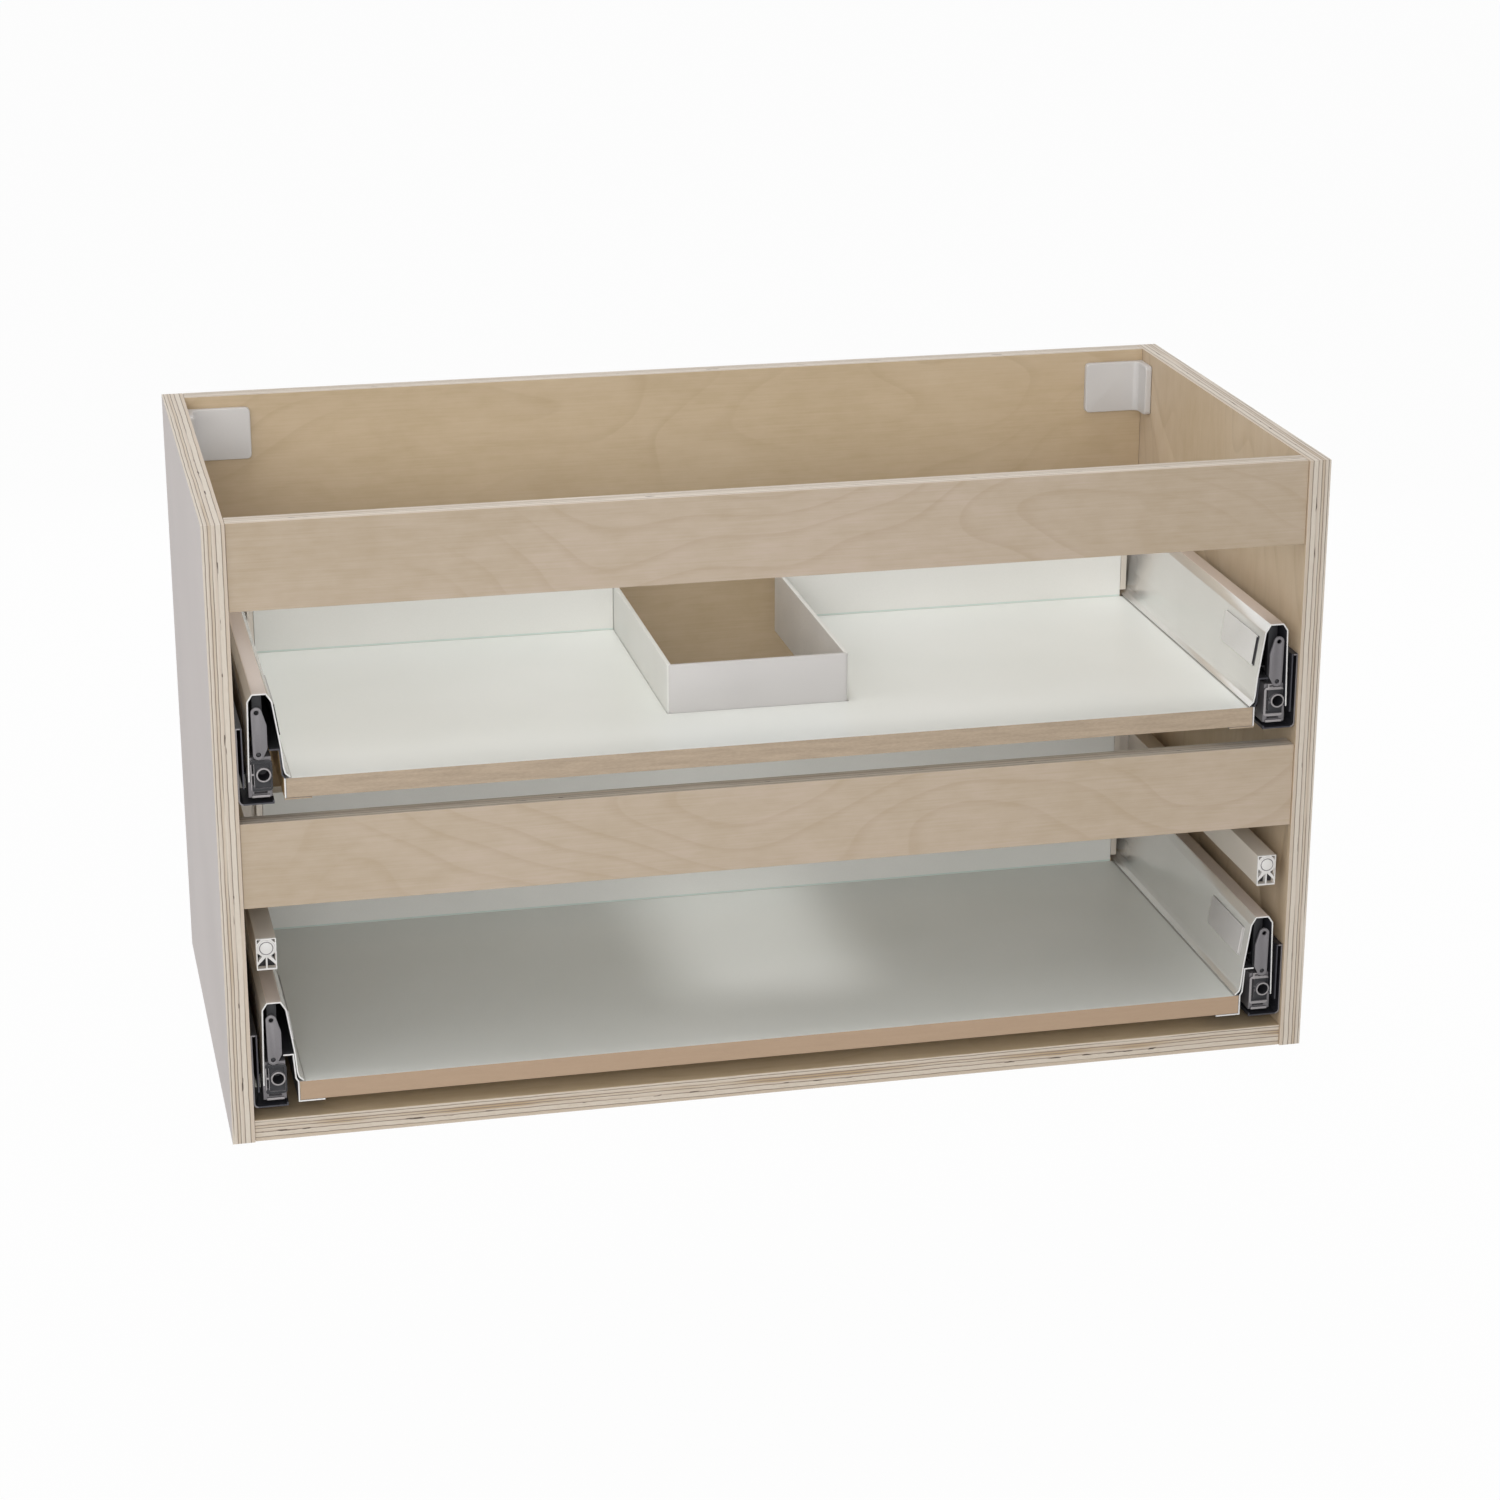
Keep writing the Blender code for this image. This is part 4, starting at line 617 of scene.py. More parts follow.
def copied(node):
    """A copy of a frame node's mesh, its triangles merged back into whole flat faces."""
    bm = bmesh.new()
    bm.from_mesh(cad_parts[node].data)
    return welded(bm)


# %% Making objects, cutting and joining


def added(name, bm):
    """A new object in the scene, with a mesh of its own."""
    mesh = bpy.data.meshes.new(name)
    bm.to_mesh(mesh)
    bm.free()
    thing = bpy.data.objects.new(name, mesh)
    bpy.context.scene.collection.objects.link(thing)
    return thing


def combined(bm, tool, operation):
    """A mesh after a tool mesh is cut from it or joined to it."""
    stock, cutter = added("stock", bm), added("tool", tool)
    modifier = stock.modifiers.new(operation.title(), "BOOLEAN")
    modifier.operation = operation
    modifier.solver = "EXACT"
    modifier.object = cutter
    scene_now = bpy.context.evaluated_depsgraph_get()
    result = bmesh.new()
    result.from_mesh(stock.evaluated_get(scene_now).to_mesh())
    for thing in (stock, cutter):
        mesh = thing.data
        bpy.data.objects.remove(thing)
        bpy.data.meshes.remove(mesh)
    return welded(result)


# %% Rounding edges


def rounded(bm, edges, width, segments, clamp=False):
    """Rounds some edges over a width in millimetres."""
    bmesh.ops.bevel(
        bm, geom=edges, offset=width * MM, segments=segments, profile=0.5,
        affect="EDGES", clamp_overlap=clamp, material=-1,
    )
    return bm


def ease(bm, width, segments=2, above=35):
    """A small bevel along every edge that turns more than some degrees."""
    sharp = [
        edge for edge in bm.edges
        if edge.is_manifold and edge.calc_face_angle(0) > radians(above)
    ]
    return rounded(bm, sharp, width, segments, clamp=True)


def edges_along(bm, way):
    """The edges that run along a direction."""
    def direction(edge):
        return (edge.verts[0].co - edge.verts[1].co).normalized()
    return [edge for edge in bm.edges if abs(direction(edge).dot(way)) > 0.9]


def thicken(made, thickness, rim_width, rim_segments, inside, rim=0):
    """Gives a surface its thickness inwards, and eases the edges of its rim."""
    wall = made.modifiers.new("Wall", "SOLIDIFY")
    wall.thickness = thickness * MM
    wall.offset = -1
    wall.use_even_offset = True
    wall.material_offset = inside
    wall.material_offset_rim = rim
    edge = made.modifiers.new("Rim", "BEVEL")
    edge.width = rim_width * MM
    edge.segments = rim_segments
    edge.limit_method = "ANGLE"
    edge.angle_limit = radians(50)


# %% Turning a mesh into a piece of the cabinet


def piece(name, bm, materials, body, node=None, rule=None, smooth=None):
    """Makes the object, paints its faces by a rule, and ties it to its body and node."""
    if rule:
        for face in bm.faces:
            face.material_index = rule(face.normal, face.calc_center_median())
    made = added(name, bm)
    for material in materials:
        made.data.materials.append(material)
    if smooth:
        made.data.shade_smooth()
        made.data.set_sharp_from_angle(angle=radians(smooth))
    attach(made, body)
    if node:
        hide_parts(node)
    return made


print("helpers ready")

# %% [markdown]
# ## The carcass boards
# Six boards make the carcass: two full sides, and four boards doweled between them.
# Each starts as a merged copy of its node, so that its dowels, screw holes and hook
# windows stay true. Its edges are eased by a few tenths of a millimetre, as a sander
# leaves them, and each face is painted by the way it points: veneer, coating or plies.

# %% Make the boards


def across_board(axis):
    """Paints veneer on a board's two faces and plies on everything else."""
    def rule(normal, centre):
        return 0 if abs(normal[axis]) > FACING else 1
    return rule


def side_board_rule(side):
    """Paints the outer face with the coating, the inner face with veneer, the rest plies."""
    def rule(normal, centre):
        outward = normal.x * SIDES[side]
        if outward > FACING and abs(centre.x) > INNER + BOARD / 2:
            return 0
        if outward < -FACING:
            return 1
        return 2
    return rule


BOARD_EASE = 0.35

for side in SIDES:
    piece(
        f"{side}_side_board", ease(copied(f"{side}_side_panel"), BOARD_EASE),
        [grey_coating, veneer_along_z, edge_of_sides], "carcass",
        f"{side}_side_panel", side_board_rule(side),
    )
for node, name, axis, veneer, edge in (
    ("bottom_panel", "bottom_board", 2, veneer_painted_bounce, edge_of_bottom),
    ("back_panel", "back_board", 1, veneer_painted_bounce, edge_of_back),
    ("front_top_rail", "top_rail_board", 1, veneer_along_x, edge_of_rails),
    ("middle_rail", "middle_rail_board", 1, veneer_along_x, edge_of_rails),
):
    piece(
        name, ease(copied(node), BOARD_EASE), [veneer, edge],
        "carcass", node, across_board(axis),
    )
print("6 boards")

# %% [markdown]
# ## The drawer boards and the siphon recess
# The floors and backs are white-faced boards. Only a floor's front edge is brown. The
# recess is a moulded frame that keeps the upper drawer clear of the basin's siphon. It
# is one wall pulled up round three sides, its corners rounded and then thickened.

# %% Make the drawer boards


def front_edge_rule(front):
    """Paints the edge that faces forwards at a board's front."""
    def rule(normal, centre):
        return 1 if normal.y < -FACING and centre.y < front + MM else 0
    return rule


for node, name, edge in (
    ("upper_drawer_floor", "upper_floor_board", raw_edge),
    ("lower_drawer_floor", "lower_floor_board", tan_edge),
    ("upper_drawer_back_left", "upper_back_board_left", None),
    ("upper_drawer_back_right", "upper_back_board_right", None),
    ("lower_drawer_back", "lower_back_board", None),
):
    rule = front_edge_rule(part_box(node)[0].y) if edge else None
    materials = [white_melamine, edge] if edge else [white_melamine]
    body = f"{node.split('_')[0]}_drawer"
    piece(name, ease(copied(node), 0.3), materials, body, node, rule)
print("5 drawer boards")

# %% Make the siphon recess

RECESS_WALL = 3.7


def siphon_frame():
    """The U-shaped wall: three straight runs pulled up, with rounded corners."""
    low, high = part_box("siphon_recess")
    plan = [(low.x, high.y), (low.x, low.y), (high.x, low.y), (high.x, high.y)]
    bm = drawn([(x, y, low.z) for x, y in plan], (0, 0, high.z - low.z))
    rounded(bm, [edge for edge in bm.edges if edge.is_manifold], 4, 8)
    outward = bm.faces[:][0]
    middle = (low + high) / 2
    if outward.normal.dot(outward.calc_center_median() - middle) < 0:
        bmesh.ops.reverse_faces(bm, faces=bm.faces)
    return bm


def recess_rule(normal, centre):
    """Paints the side walls with the lighter moulding, a painted light, brighter than the front
    wall.
    """
    return 1 if abs(normal.x) > FACING else 0


recess = piece(
    "siphon_frame", siphon_frame(), [white_moulding, moulding_painted_light, cap_moulding],
    "upper_drawer", "siphon_recess", recess_rule, smooth=30,
)
# The inner faces take the next slots: the front wall's the painted light, the side walls' the
# cap moulding.
thicken(recess, RECESS_WALL, 0.6, 3, 1)
print("siphon frame with a", RECESS_WALL, "mm wall")

# %% [markdown]
# ## The metal drawer sides
# A drawer side is one strip of steel, folded so that it stands up outside, crosses over
# a narrow top and slopes down inside to a small lip on the floor board. The section's
# points are given as shares of the side's width and height. The strip is drawn as a
# line, pulled back along the drawer, its folds rounded, and thickened inwards.

# %% Fold the sheet


def folded(points, depth, fold):
    """A thin surface from a line of points pulled along Y, with each fold rounded."""
    bm = drawn(points, (0, depth, 0))
    rounded(bm, [edge for edge in bm.edges if edge.is_manifold], fold, 3)
    bmesh.ops.recalc_face_normals(bm, faces=bm.faces)
    first = min(bm.faces, key=lambda face: -abs(face.calc_center_median().x))
    if first.normal.x * first.calc_center_median().x <= 0:
        bmesh.ops.reverse_faces(bm, faces=bm.faces)
    return bm


SIDE_SHARES = (
    (0.0, 0.0), (0.046, 0.915), (0.168, 1.0), (0.518, 1.0), (0.649, 0.901),
    (0.814, 0.380), (0.860, 0.141), (0.893, 0.077), (1.0, 0.0324),
)


def side_section(level, side):
    """The drawer side's outer line, as points at its front end."""
    low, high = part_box(f"{level}_metal_side_{side}")
    outer = high.x if side == "right" else low.x
    inner = low.x if side == "right" else high.x
    return [
        (outer + (inner - outer) * across, low.y, low.z + (high.z - low.z) * up)
        for across, up in SIDE_SHARES
    ]


def top_strip_rule(normal, centre):
    """Paints the narrow strip on top with a tan painted reflection of wood."""
    return 1 if normal.z > 0.8 and abs(centre.x) > INNER - 26 * MM else 0


for level, side in FITTINGS:
    node = f"{level}_metal_side_{side}"
    low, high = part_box(node)
    bm = folded(side_section(level, side), high.y - low.y, 0.6)
    made = piece(
        f"{level}_side_sheet_{side}", bm, [side_paint, top_painted_reflection, side_inside, edge_painted_highlight],
        f"{level}_drawer", node, top_strip_rule, smooth=40,
    )
    # Through the offsets the inner faces take the dark painted shade, and the rims the painted
    # highlight.
    thicken(made, 1.2, 0.15, 2, 2, 3)
print("4 folded drawer sides")

# %% [markdown]
# ## Sheet-metal fittings
# Runners, carriages, floor carriers, rear brackets and hanger plates are folded and
# punched sheet, and their nodes already have each fold, notch and screw. They need only
# eased edges and a finish on each face: a painted highlight where the sheet is cut at the
# front, the runners' dark coat, painted shade or zinc elsewhere, painted reflections of
# wood on two shaded faces, and nylon where a glide is clipped on. Flat cuts divide the
# faces on which two finishes meet, because a rule paints whole faces.

# %% Dress the sheet-metal fittings

BAND_INSET = 4 * MM


def runner_rule(side, front, shoulder):
    """Paints the outer sheet's cut end with a painted highlight, and the left upright with a
    painted reflection of wood.
    """
    def rule(normal, centre):
        if normal.y < -FACING and centre.y < front + MM:
            return 1 if abs(centre.x) > INNER - BAND_INSET else 0
        inward = -normal.x * SIDES[side] > FACING and abs(centre.x) > INNER - 8 * MM
        return 2 if inward and side == "left" and centre.z > shoulder else 0
    return rule


def carrier_rule(front, low, high, mirrors_wood):
    """Paints the cut end by height as painted light: tan below, a bright painted highlight,
    then dark painted shade; and the face that mirrors wood with a painted reflection.
    """
    def rule(normal, centre):
        if normal.y > -FACING or centre.y > front + MM:
            return 4 if mirrors_wood and normal.x < -FACING else 0
        return 3 if centre.z < low else 1 if centre.z < high else 2
    return rule


def split(bm, axis, *places):
    """Adds edges round a mesh at places on an axis, so that a rule can tell parts apart."""
    way = Vector(1.0 if number == axis else 0.0 for number in range(3))
    for place in places:
        bmesh.ops.bisect_plane(
            bm, geom=bm.verts[:] + bm.edges[:] + bm.faces[:], dist=0.001 * MM,
            plane_co=way * place, plane_no=way, clear_inner=False, clear_outer=False,
        )
    return bm


def glide_rule(node):
    """Paints a carriage's glides, which lie outside its folded rail, with nylon."""
    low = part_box(node)[0]

    def rule(normal, centre):
        inset = (INNER - abs(centre.x)) / MM
        top_clip = 15.5 < inset < 20.5 and centre.z > low.z + 32 * MM
        side_clip = inset < 12.4 and not 12.2 < inset < 14.2
        return 1 if top_clip or side_clip else 0
    return rule


for level, side in FITTINGS:
    body = f"{level}_drawer"
    node = f"{level}_runner_{side}"
    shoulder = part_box(f"{level}_drawer_floor")[1].z
    rule = runner_rule(side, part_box(node)[0].y, shoulder)
    bm = split(copied(node), 2, shoulder)
    bm = split(bm, 0, SIDES[side] * (INNER - BAND_INSET))
    piece(
        f"{level}_runner_rail_{side}", ease(bm, 0.15),
        [runner_coat, runner_rim, runner_glint], "carcass", node, rule,
    )
    node = f"{level}_floor_carrier_{side}"
    # the lower carriers' cut ends take the bright painted highlight all over
    bright = (UNDERSIDE[level], shoulder) if level == "upper" else (-1.0, 1.0)
    mirrors_wood = (level, side) == ("upper", "left")
    rule = carrier_rule(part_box(node)[0].y, *bright, mirrors_wood)
    piece(
        f"{level}_carrier_sheet_{side}",
        ease(split(copied(node), 2, UNDERSIDE[level], shoulder), 0.15),
        [carrier_zinc, edge_painted_highlight, side_inside, raw_edge, carrier_glint], body, node,
        rule,
    )
    node = f"{level}_rear_bracket_{side}"
    piece(
        f"{level}_rear_plate_{side}", ease(copied(node), 0.15), [gallery_coat],
        body, node,
    )
    node = f"{level}_carriage_{side}"
    piece(
        f"{level}_carriage_rail_{side}", ease(copied(node), 0.15),
        [zinc_plate, nylon], f"{level}_carriages", node,
        glide_rule(node),
    )
for side in SIDES:
    piece(
        f"hanger_plate_{side}", ease(copied(f"hanger_housing_{side}"), 0.2), [zinc_plate],
        "carcass", f"hanger_housing_{side}",
    )
    piece(
        f"hanger_claw_{side}", ease(copied(f"hanger_hook_{side}"), 0.3), [zinc_plate],
        f"hanger_hook_{side}", f"hanger_hook_{side}",
    )
    piece(
        f"hanger_shell_{side}", ease(copied(f"hanger_cover_{side}"), 0.7, 3),
        [white_moulding], "carcass", f"hanger_cover_{side}", smooth=40,
    )
print("16 rails and plates, 6 hanger pieces")

# %% [markdown]
# ## Rollers
# A small nylon roller turns on each carriage's axle. It is a half section, a rim with
# rounded shoulders and a thin web, spun once round the axle's line.

# %% Spin the rollers


def roller_shape(node):
    """A wheel spun from its half section about the roller's axis."""
    low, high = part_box(node)
    centre = (low + high) / 2
    half = (high.x - low.x) / 2
    rim, web, bore = 5.95 * MM, 4.2 * MM, 1.9 * MM
    section = [
        (-half, bore), (-half, web), (-half + 0.6 * MM, web), (-half, web + 0.5 * MM),
        (-half, rim - 0.6 * MM), (-half + 0.6 * MM, rim), (half - 0.6 * MM, rim),
        (half, rim - 0.6 * MM), (half, bore),
    ]
    bm = bmesh.new()
    verts = [bm.verts.new(centre + Vector((x, 0, radius))) for x, radius in section]
    edges = [bm.edges.new(pair) for pair in zip(verts, verts[1:] + verts[:1])]
    bmesh.ops.spin(
        bm, geom=verts + edges, cent=centre, axis=(1, 0, 0), angle=2 * pi, steps=40,
        use_merge=True, use_duplicate=False,
    )
    bmesh.ops.remove_doubles(bm, verts=bm.verts, dist=WELD)
    bmesh.ops.recalc_face_normals(bm, faces=bm.faces)
    return bm


for level, side in FITTINGS:
    node = f"{level}_roller_{side}"
    piece(
        f"{level}_nylon_roller_{side}", roller_shape(node), [nylon], node, node,
        smooth=40,
    )
print("4 rollers")

# %% [markdown]
# ## Front brackets
# Behind the missing drawer front each side holds a grey die-cast bracket: a block with a
# round socket for the front's pin, two narrow slots beside it, a slotted foot and an arm
# that stiffens the drawer side. It is built up from blocks and bars that are joined,
# then drilled and slotted, then eased all over. The left and right brackets are cast
# alike, so they aren't mirrored, but their sides cover different parts of them.

# %% Build the brackets

SOCKET_INSET, SOCKET_HEIGHT, SOCKET_SHIFT = 18.3, 19.5, 2.4


def bracket_place(level, side):
    """A function that turns millimetres about the socket into a point of the drawing."""
    socket = spot(side, level, SOCKET_INSET, 0, SOCKET_HEIGHT)
    socket.x += SOCKET_SHIFT * MM
    return lambda across, depth, up: socket + Vector((across, depth, up)) * MM


def bracket_shape(level, side):
    """One front bracket, made of blocks and bars that are joined and then cut."""
    at, by = partial(spot, side, level), bracket_place(level, side)
    left, right = {"left": (-10.2, 6.9), "right": (-11.4, 5.2)}[side]
    low, high = by(left, 5.4, -13.2), by(right, 8, 11.6)
    frame_bar = block(low, high)
    rounded(frame_bar, edges_along(frame_bar, Vector((0, 1, 0))), 2.6, 5)
    near, far = {"left": (3.2, -1.4), "right": (1.9, 2.0)}[side]
    low += Vector((near, -1.4, 2.2)) * MM
    high += Vector((far, -0.8, -2.2)) * MM
    slot = {"left": -9.1, "right": -8.2}[side]
    bm = block(at(10.5, 7.4, 1), at(27.0, 34, 33.5))
    for tool, operation in (
        (block(at(8.7, 7.4, 1), at(12, 34, 14.7)), "UNION"),
        (block(at(14.8, 15, 31.5), at(22.3, 20, 84.5)), "UNION"),
        (frame_bar, "UNION"),
        (block(low, high), "DIFFERENCE"),
        (block(by(-8.6, 5.4, 10.6), by(-4.2, 12, 14.6)), "UNION"),
        (block(by(-7.2, 5, 12.2), by(-3, 9, 13.4)), "DIFFERENCE"),
        (block(by(-9.4, 5.0, -18.2), by(4.4, 9, -16.4)), "UNION"),
        (block(by(-7.6, 6, -16.0), by(2.6, 18, -14.2)), "DIFFERENCE"),
        (round_bar(by(0, 4.2, 0), by(0, 9, 0), 5.8 * MM), "UNION"),
        (round_bar(by(0, 2, 0), by(0, 20, 0), 4.6 * MM), "DIFFERENCE"),
        (block(by(slot, 3, -8.6), by(slot + 1.7, 12, -0.4)), "DIFFERENCE"),
        (block(by(slot, 3, 1.2), by(slot + 1.7, 12, 8.8)), "DIFFERENCE"),
        (round_bar(at(17.5, 4.4, 36.5), at(17.5, 10, 36.5), 1.4 * MM, 24), "UNION"),
    ):
        bm = combined(bm, tool, operation)
    return ease(bm, 0.3)


def bracket_rule(level, side):
    """Gives the raised bars a painted highlight, the pocket painted shade, and bore, slots, pin
    and arm a dark painted shade.
    """
    by = bracket_place(level, side)
    socket = by(0, 0, 0)

    def rule(normal, centre):
        depth = (centre.y - socket.y) / MM
        up = (centre.z - socket.z) / MM
        away = Vector((centre.x - socket.x, centre.z - socket.z)).length / MM
        ahead = normal.y < -FACING
        if up > 14.8 or (away < 4.7 and depth > 5.2) or (ahead and depth > 8.2):
            return 3
        if ahead and depth < 5.9:
            return 1
        return 2 if ahead and 6.8 < depth < 7.3 else 0
    return rule


for level, side in FITTINGS:
    node = f"{level}_front_bracket_{side}"
    piece(
        f"{level}_bracket_block_{side}", bracket_shape(level, side),
        [bracket_coat, bracket_rim, bracket_pocket, hollow_painted_shade],
        f"{level}_drawer", node, bracket_rule(level, side), smooth=35,
    )
print("4 front brackets")

# %% [markdown]
# ## Lock levers
# A lever turns on the bracket's pin. It is a plate with round ends that bulges slightly
# inwards. Four short bars and their convex hull give that outline in one step, and two
# holes are then drilled, one for the pin and one for the tool that turns it.

# %% Make the levers


def lever_shape(level, side):
    """The lever plate: the hull of four round bars, drilled twice."""
    at = partial(spot, side, level)
    eyes = (at(17.5, 0, 36.5), at(17.1, 0, 70.5))
    bulges = (at(20.3, 0, 41.9), at(20.3, 0, 59.6))
    back = Vector((0, MM, 0))
    bm = bmesh.new()
    for centre in (*eyes, *bulges):
        round_bar(centre + 3.5 * back, centre + 5.7 * back, 4.3 * MM, 48, bm)
    hull = bmesh.ops.convex_hull(bm, input=bm.verts)
    loose = {part for key in ("geom_interior", "geom_unused") for part in hull[key]}
    inside = [part for part in loose if isinstance(part, bmesh.types.BMVert)]
    bmesh.ops.delete(bm, geom=inside, context="VERTS")
    kept = {part for part in hull["geom"] if isinstance(part, bmesh.types.BMFace)}
    stale = [face for face in bm.faces if face not in kept]
    bmesh.ops.delete(bm, geom=stale, context="FACES_ONLY")
    bmesh.ops.recalc_face_normals(flattened(bm), faces=bm.faces)
    for centre in eyes:
        tool = round_bar(centre + 2 * back, centre + 8 * back, 1.9 * MM, 32)
        bm = combined(bm, tool, "DIFFERENCE")
    return ease(bm, 0.3)


for level, side in FITTINGS:
    node = f"{level}_lock_lever_{side}"
    piece(
        f"{level}_lever_plate_{side}", lever_shape(level, side), [bracket_coat],
        node, node, smooth=35,
    )
print("4 lock levers")

# %% [markdown]
# ## Cover caps
# A flat plastic cap hides the adjusters on the inner slope of each side. It is a thin
# slab on the slope with rounded corners, and it is stepped back at its front end. On the
# upper drawer the step is painted dark, as shade, and the lower caps take a darker
# moulding all over, as painted shade. Every cap's upper edge gets a grey painted shade.

# %% Make the caps


def cap_shape(level, side):
    """A slab that lies on the drawer side's inner slope."""
    section = side_section(level, side)
    top, bottom = Vector(section[4]), Vector(section[5])
    run = (bottom - top).normalized()
    out = Vector((-run.z, 0, run.x)).normalized()
    if out.x * SIDES[side] > 0:
        out = -out
    back = Vector((0, MM, 0))
    start, end = (
        top.lerp(bottom, share) + 10 * back + out * 0.3 * MM for share in (0.16, 0.84)
    )
    bm = pulled([start, end, end + 77 * back, start + 77 * back], out * 1.0 * MM)
    rounded(bm, edges_along(bm, out), 1.5, 5)
    low, high = (start.lerp(end, share) - back for share in (0.04, 0.96))
    step = (low, high, high + 4.2 * back, low + 4.2 * back)
    tool = pulled([point + out * 0.35 * MM for point in step], out * 2 * MM)
    return ease(combined(bm, tool, "DIFFERENCE"), 0.15, above=50)


def cap_rule(normal, centre):
    """Paints the step at the front, and the cap's upper edge with a grey painted shade."""
    if centre.y < FRONT + 16.4 * MM:
        return 1
    return 2 if normal.z > 0.8 else 0


# The upper caps' steps are painted shade; the lower caps are painted darker all over, as shade.
cap_shades = {
    "upper": [cap_moulding, hollow_painted_shade, cap_edge],
    "lower": [white_moulding, white_moulding, cap_edge],
}
for level, side in FITTINGS:
    node = f"{level}_cover_cap_{side}"
    piece(
        f"{level}_cap_{side}", cap_shape(level, side),
        cap_shades[level], f"{level}_drawer", node, cap_rule, smooth=30,
    )
print("4 cover caps")

# %% [markdown]
# ## Gallery rails and their plugs
# The lower drawer has a slim rectangular rail over each side. Its front end is closed by
# a plug with a round boss over three thin ribs. Between the ribs the plug is open, so
# each opening is cut as a small pocket, three of them on each side of the middle.

# %% Make the rails and plugs


def plug_shape(side):
    """The plug: the node's own shape with six pockets cut between its ribs."""
    node = f"lower_gallery_plug_{side}"
    low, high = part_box(node)
    middle = (low.x + high.x) / 2
    face = low.y + 0.8 * MM
    bm = block((low.x, face, low.z), (high.x, face + 1.6 * MM, high.z))
    inner_low = Vector((low.x + 1.5 * MM, face + 1.0 * MM, low.z + 1.5 * MM))
    inner_high = Vector((high.x - 1.5 * MM, high.y, high.z - 1.5 * MM))
    bm = combined(bm, block(inner_low, inner_high), "UNION")
    pockets = (
        ((7.1, 25.7), (3.9, 25.7), (7.1, 22.4)),
        ((7.1, 14.6), (3.4, 11.6), (7.1, 7.0)),
        ((0.6, 10.6), (0.6, 1.3), (7.0, 1.3), (7.0, 4.2)),
    )
    for hand in (-1, 1):
        for outline in pockets:
            points = [
                (middle + hand * u * MM, face - 0.5 * MM, low.z + v * MM) for u, v in outline
            ]
            bm = combined(bm, pulled(points, (0, 6 * MM, 0)), "DIFFERENCE")
    centre = Vector((middle, low.y, high.z - 8 * MM))
    out = Vector((0, MM, 0))
    bm = combined(bm, round_bar(centre, centre + out * 1.5, 6.8 * MM), "UNION")
    groove = round_bar(centre - out, centre + out * 0.5, 5.6 * MM)
    core = round_bar(centre - out * 2, centre + out, 4.8 * MM)
    bm = combined(bm, combined(groove, core, "DIFFERENCE"), "DIFFERENCE")
    return ease(bm, 0.15, above=50)


def pocket_rule(normal, centre):
    """Paints the pockets' floors with a dark painted shade, and the groove round the boss with
    a grey painted shade.
    """
    depth = centre.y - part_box("lower_gallery_plug_left")[0].y
    if normal.y < -FACING and depth > 5 * MM:
        return 1
    return 2 if normal.y < -FACING and 0.4 * MM < depth < 0.6 * MM else 0


for side in SIDES:
    node = f"lower_gallery_rail_{side}"
    rail = ease(copied(node), 0.5, 3)
    piece(
        f"gallery_tube_{side}", rail, [gallery_coat], "lower_drawer", node,
        smooth=40,
    )
    piece(
        f"gallery_end_{side}", plug_shape(side), [cap_moulding, hollow_painted_shade, runner_rim],
        "lower_drawer", f"lower_gallery_plug_{side}", pocket_rule, smooth=35,
    )
print("2 gallery rails with plugs")

# %% [markdown]
# ## Floor and light
# The cabinet hangs free over a white floor. The world gives even light from all round,
# and soft lamps shape it: one overhead, whose light falls through the siphon recess onto
# the lower drawer, three in front that reach into the drawers, one high on the left for
# the walls that face that way, and two for the rear and the right side. Camera, mirror
# and glass rays see the world as plain white, and the floor as nearly so.

# %% Make the floor and world

FLOOR_DROP = 0.42
WORLD_LIGHT = 0.42
WHITE_SHARE = 0.97


def seen_directly(graph):
    """1 for camera, mirror and glass rays, 0 for the rays that only carry light."""
    rays = graph.node("ShaderNodeLightPath")
    seen = rays["Is Camera Ray"].maths("MAXIMUM", rays["Is Glossy Ray"])
    return seen.maths("MAXIMUM", rays["Is Transmission Ray"])


def mixed_shader(graph, share, first, second, output):
    """Puts a mix of two shader sockets on an output's surface."""
    mixed = graph.node("ShaderNodeMixShader", None, {0: share, 1: first, 2: second})
    surface = graph.tree.nodes[output].inputs["Surface"]
    graph.tree.links.new(mixed["Shader"].socket, surface)


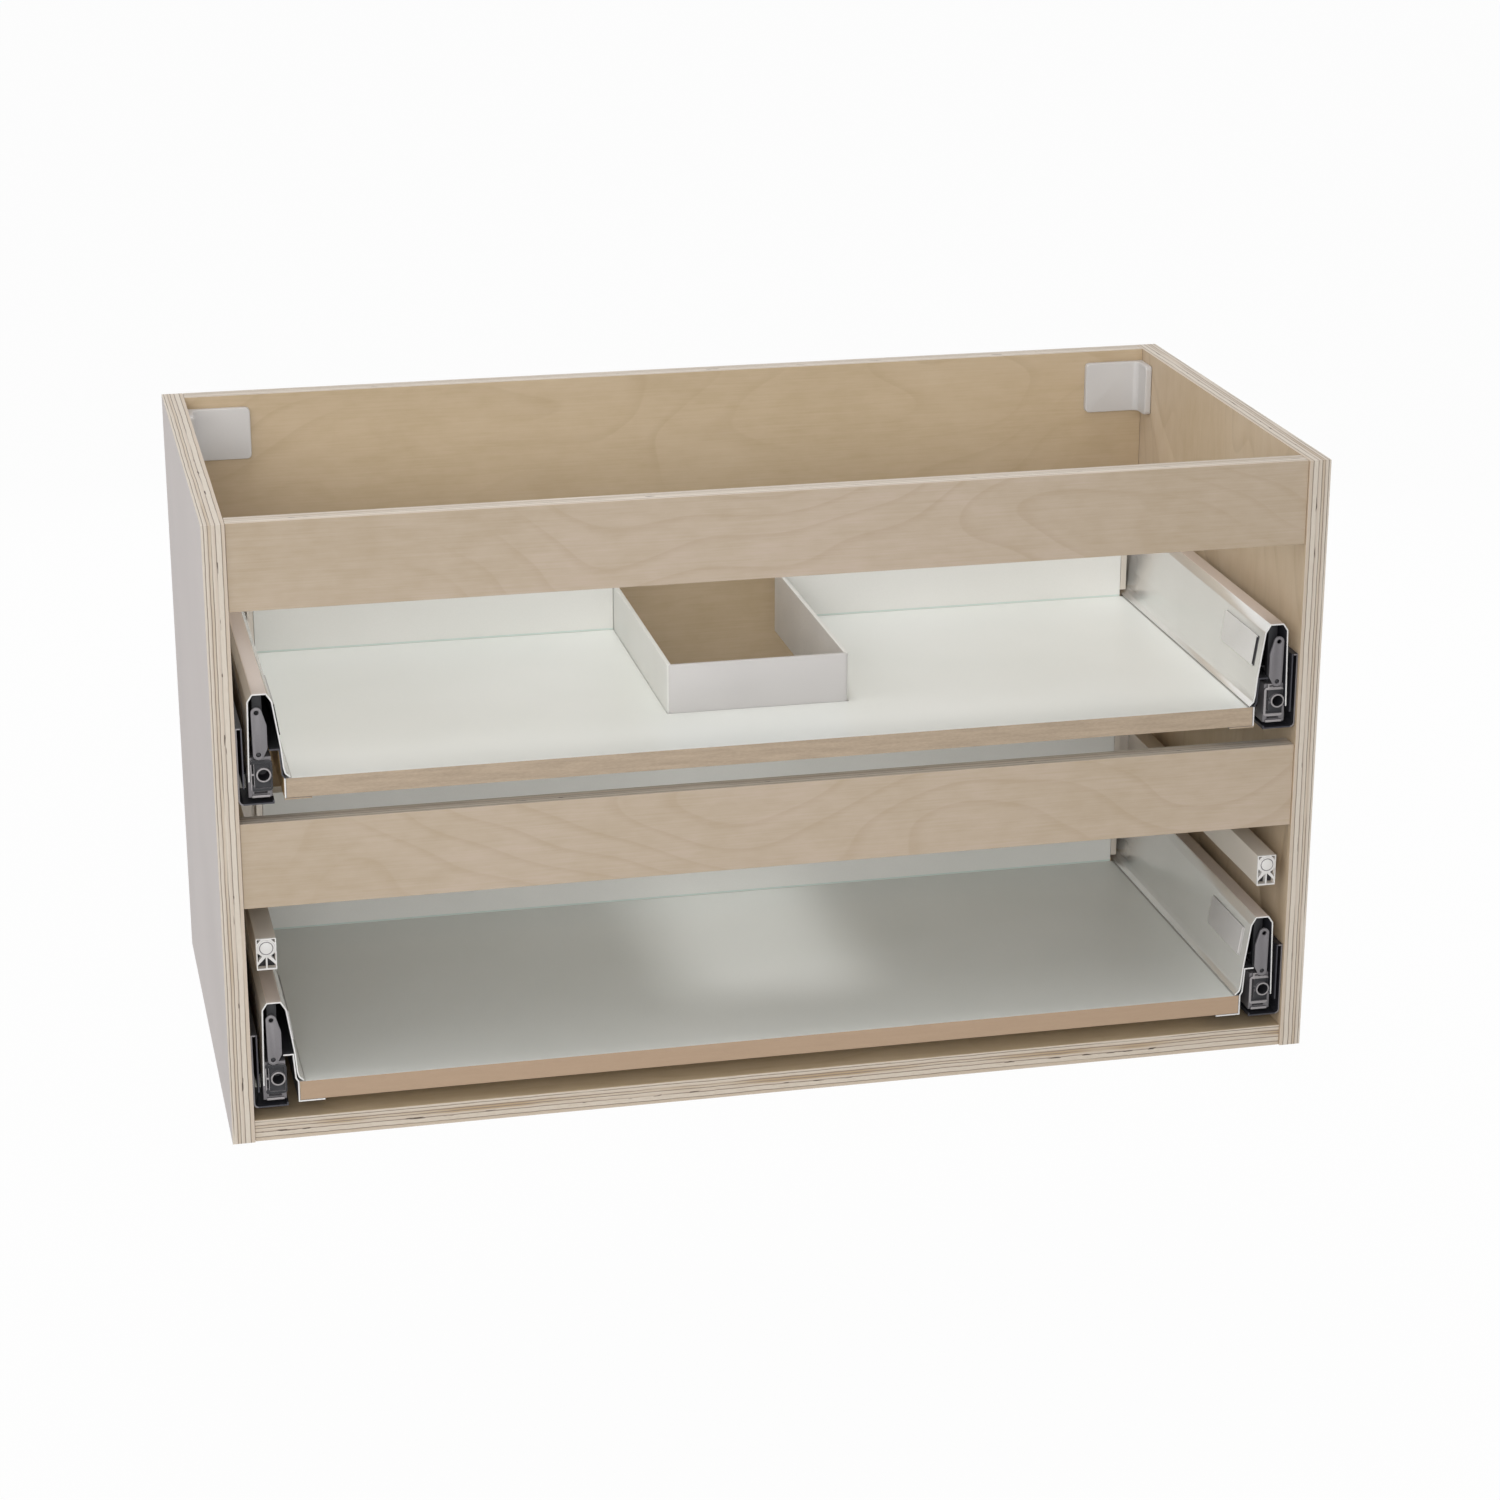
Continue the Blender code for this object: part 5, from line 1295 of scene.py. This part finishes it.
paper = Recipe("floor_paper", roughness=0.9, base_color=(0.6, 0.6, 0.6, 1.0))
paper.shader.inputs["Specular IOR Level"].default_value = 0.0
glow = paper.node("ShaderNodeEmission", None, {"Strength": 1.0})["Emission"]
lit = Wire(paper, paper.shader.outputs["BSDF"])
mixed_shader(paper, seen_directly(paper) * WHITE_SHARE, lit, glow, "Material Output")

bm = bmesh.new()
bmesh.ops.create_grid(bm, x_segments=1, y_segments=1, size=30.0)
bmesh.ops.translate(bm, vec=(0, 0, cad_box[0].z - FLOOR_DROP), verts=bm.verts)
floor = added("floor", bm)
floor.data.materials.append(paper.material)

world = bpy.data.worlds.new("studio")
world.use_nodes = True
bpy.context.scene.world = world
room = Graph(world.node_tree)
skies = [
    room.node("ShaderNodeBackground", None, {"Strength": strength, "Color": (1, 1, 1, 1)})
    for strength in (WORLD_LIGHT, 1.0)
]
sky, white = (outputs["Background"] for outputs in skies)
mixed_shader(room, seen_directly(room), sky, white, "World Output")
print(f"floor {FLOOR_DROP} m under the cabinet, world at {WORLD_LIGHT}")

# %% Hang the lamps

CABINET_MIDDLE = Vector((0, -0.22, 0))


def lamp(name, place, size, level):
    """A square lamp that aims at the cabinet and lights it to a share of full level."""
    light = bpy.data.lights.new(name, "AREA")
    light.shape = "SQUARE"
    light.size = size
    thing = bpy.data.objects.new(name, light)
    thing.location = place
    way = CABINET_MIDDLE - thing.location
    light.energy = level * pi * pi * way.length_squared
    thing.rotation_euler = way.to_track_quat("-Z", "Y").to_euler()
    bpy.context.scene.collection.objects.link(thing)
    return thing


lamps = (
    lamp("overhead_lamp", (-0.2, -0.35, 2.7), 0.8, 0.32),
    lamp("camera_side_lamp", (-0.6, -3.2, 1.0), 1.0, 0.2),
    lamp("front_left_lamp", (-1.6, -3.1, 1.3), 1.6, 0.14),
    lamp("high_left_lamp", (-2.4, -1.2, 1.7), 1.6, 0.17),
    lamp("low_front_lamp", (-0.2, -2.2, -0.24), 0.8, 0.15),
    lamp("rear_lamp", (0.7, 3.0, 0.2), 1.6, 0.34),
    lamp("right_lamp", (3.0, 0.3, 0.2), 1.6, 0.4),
)
for light in lamps:
    print(light.name, f"{light.data.energy:.0f} W")
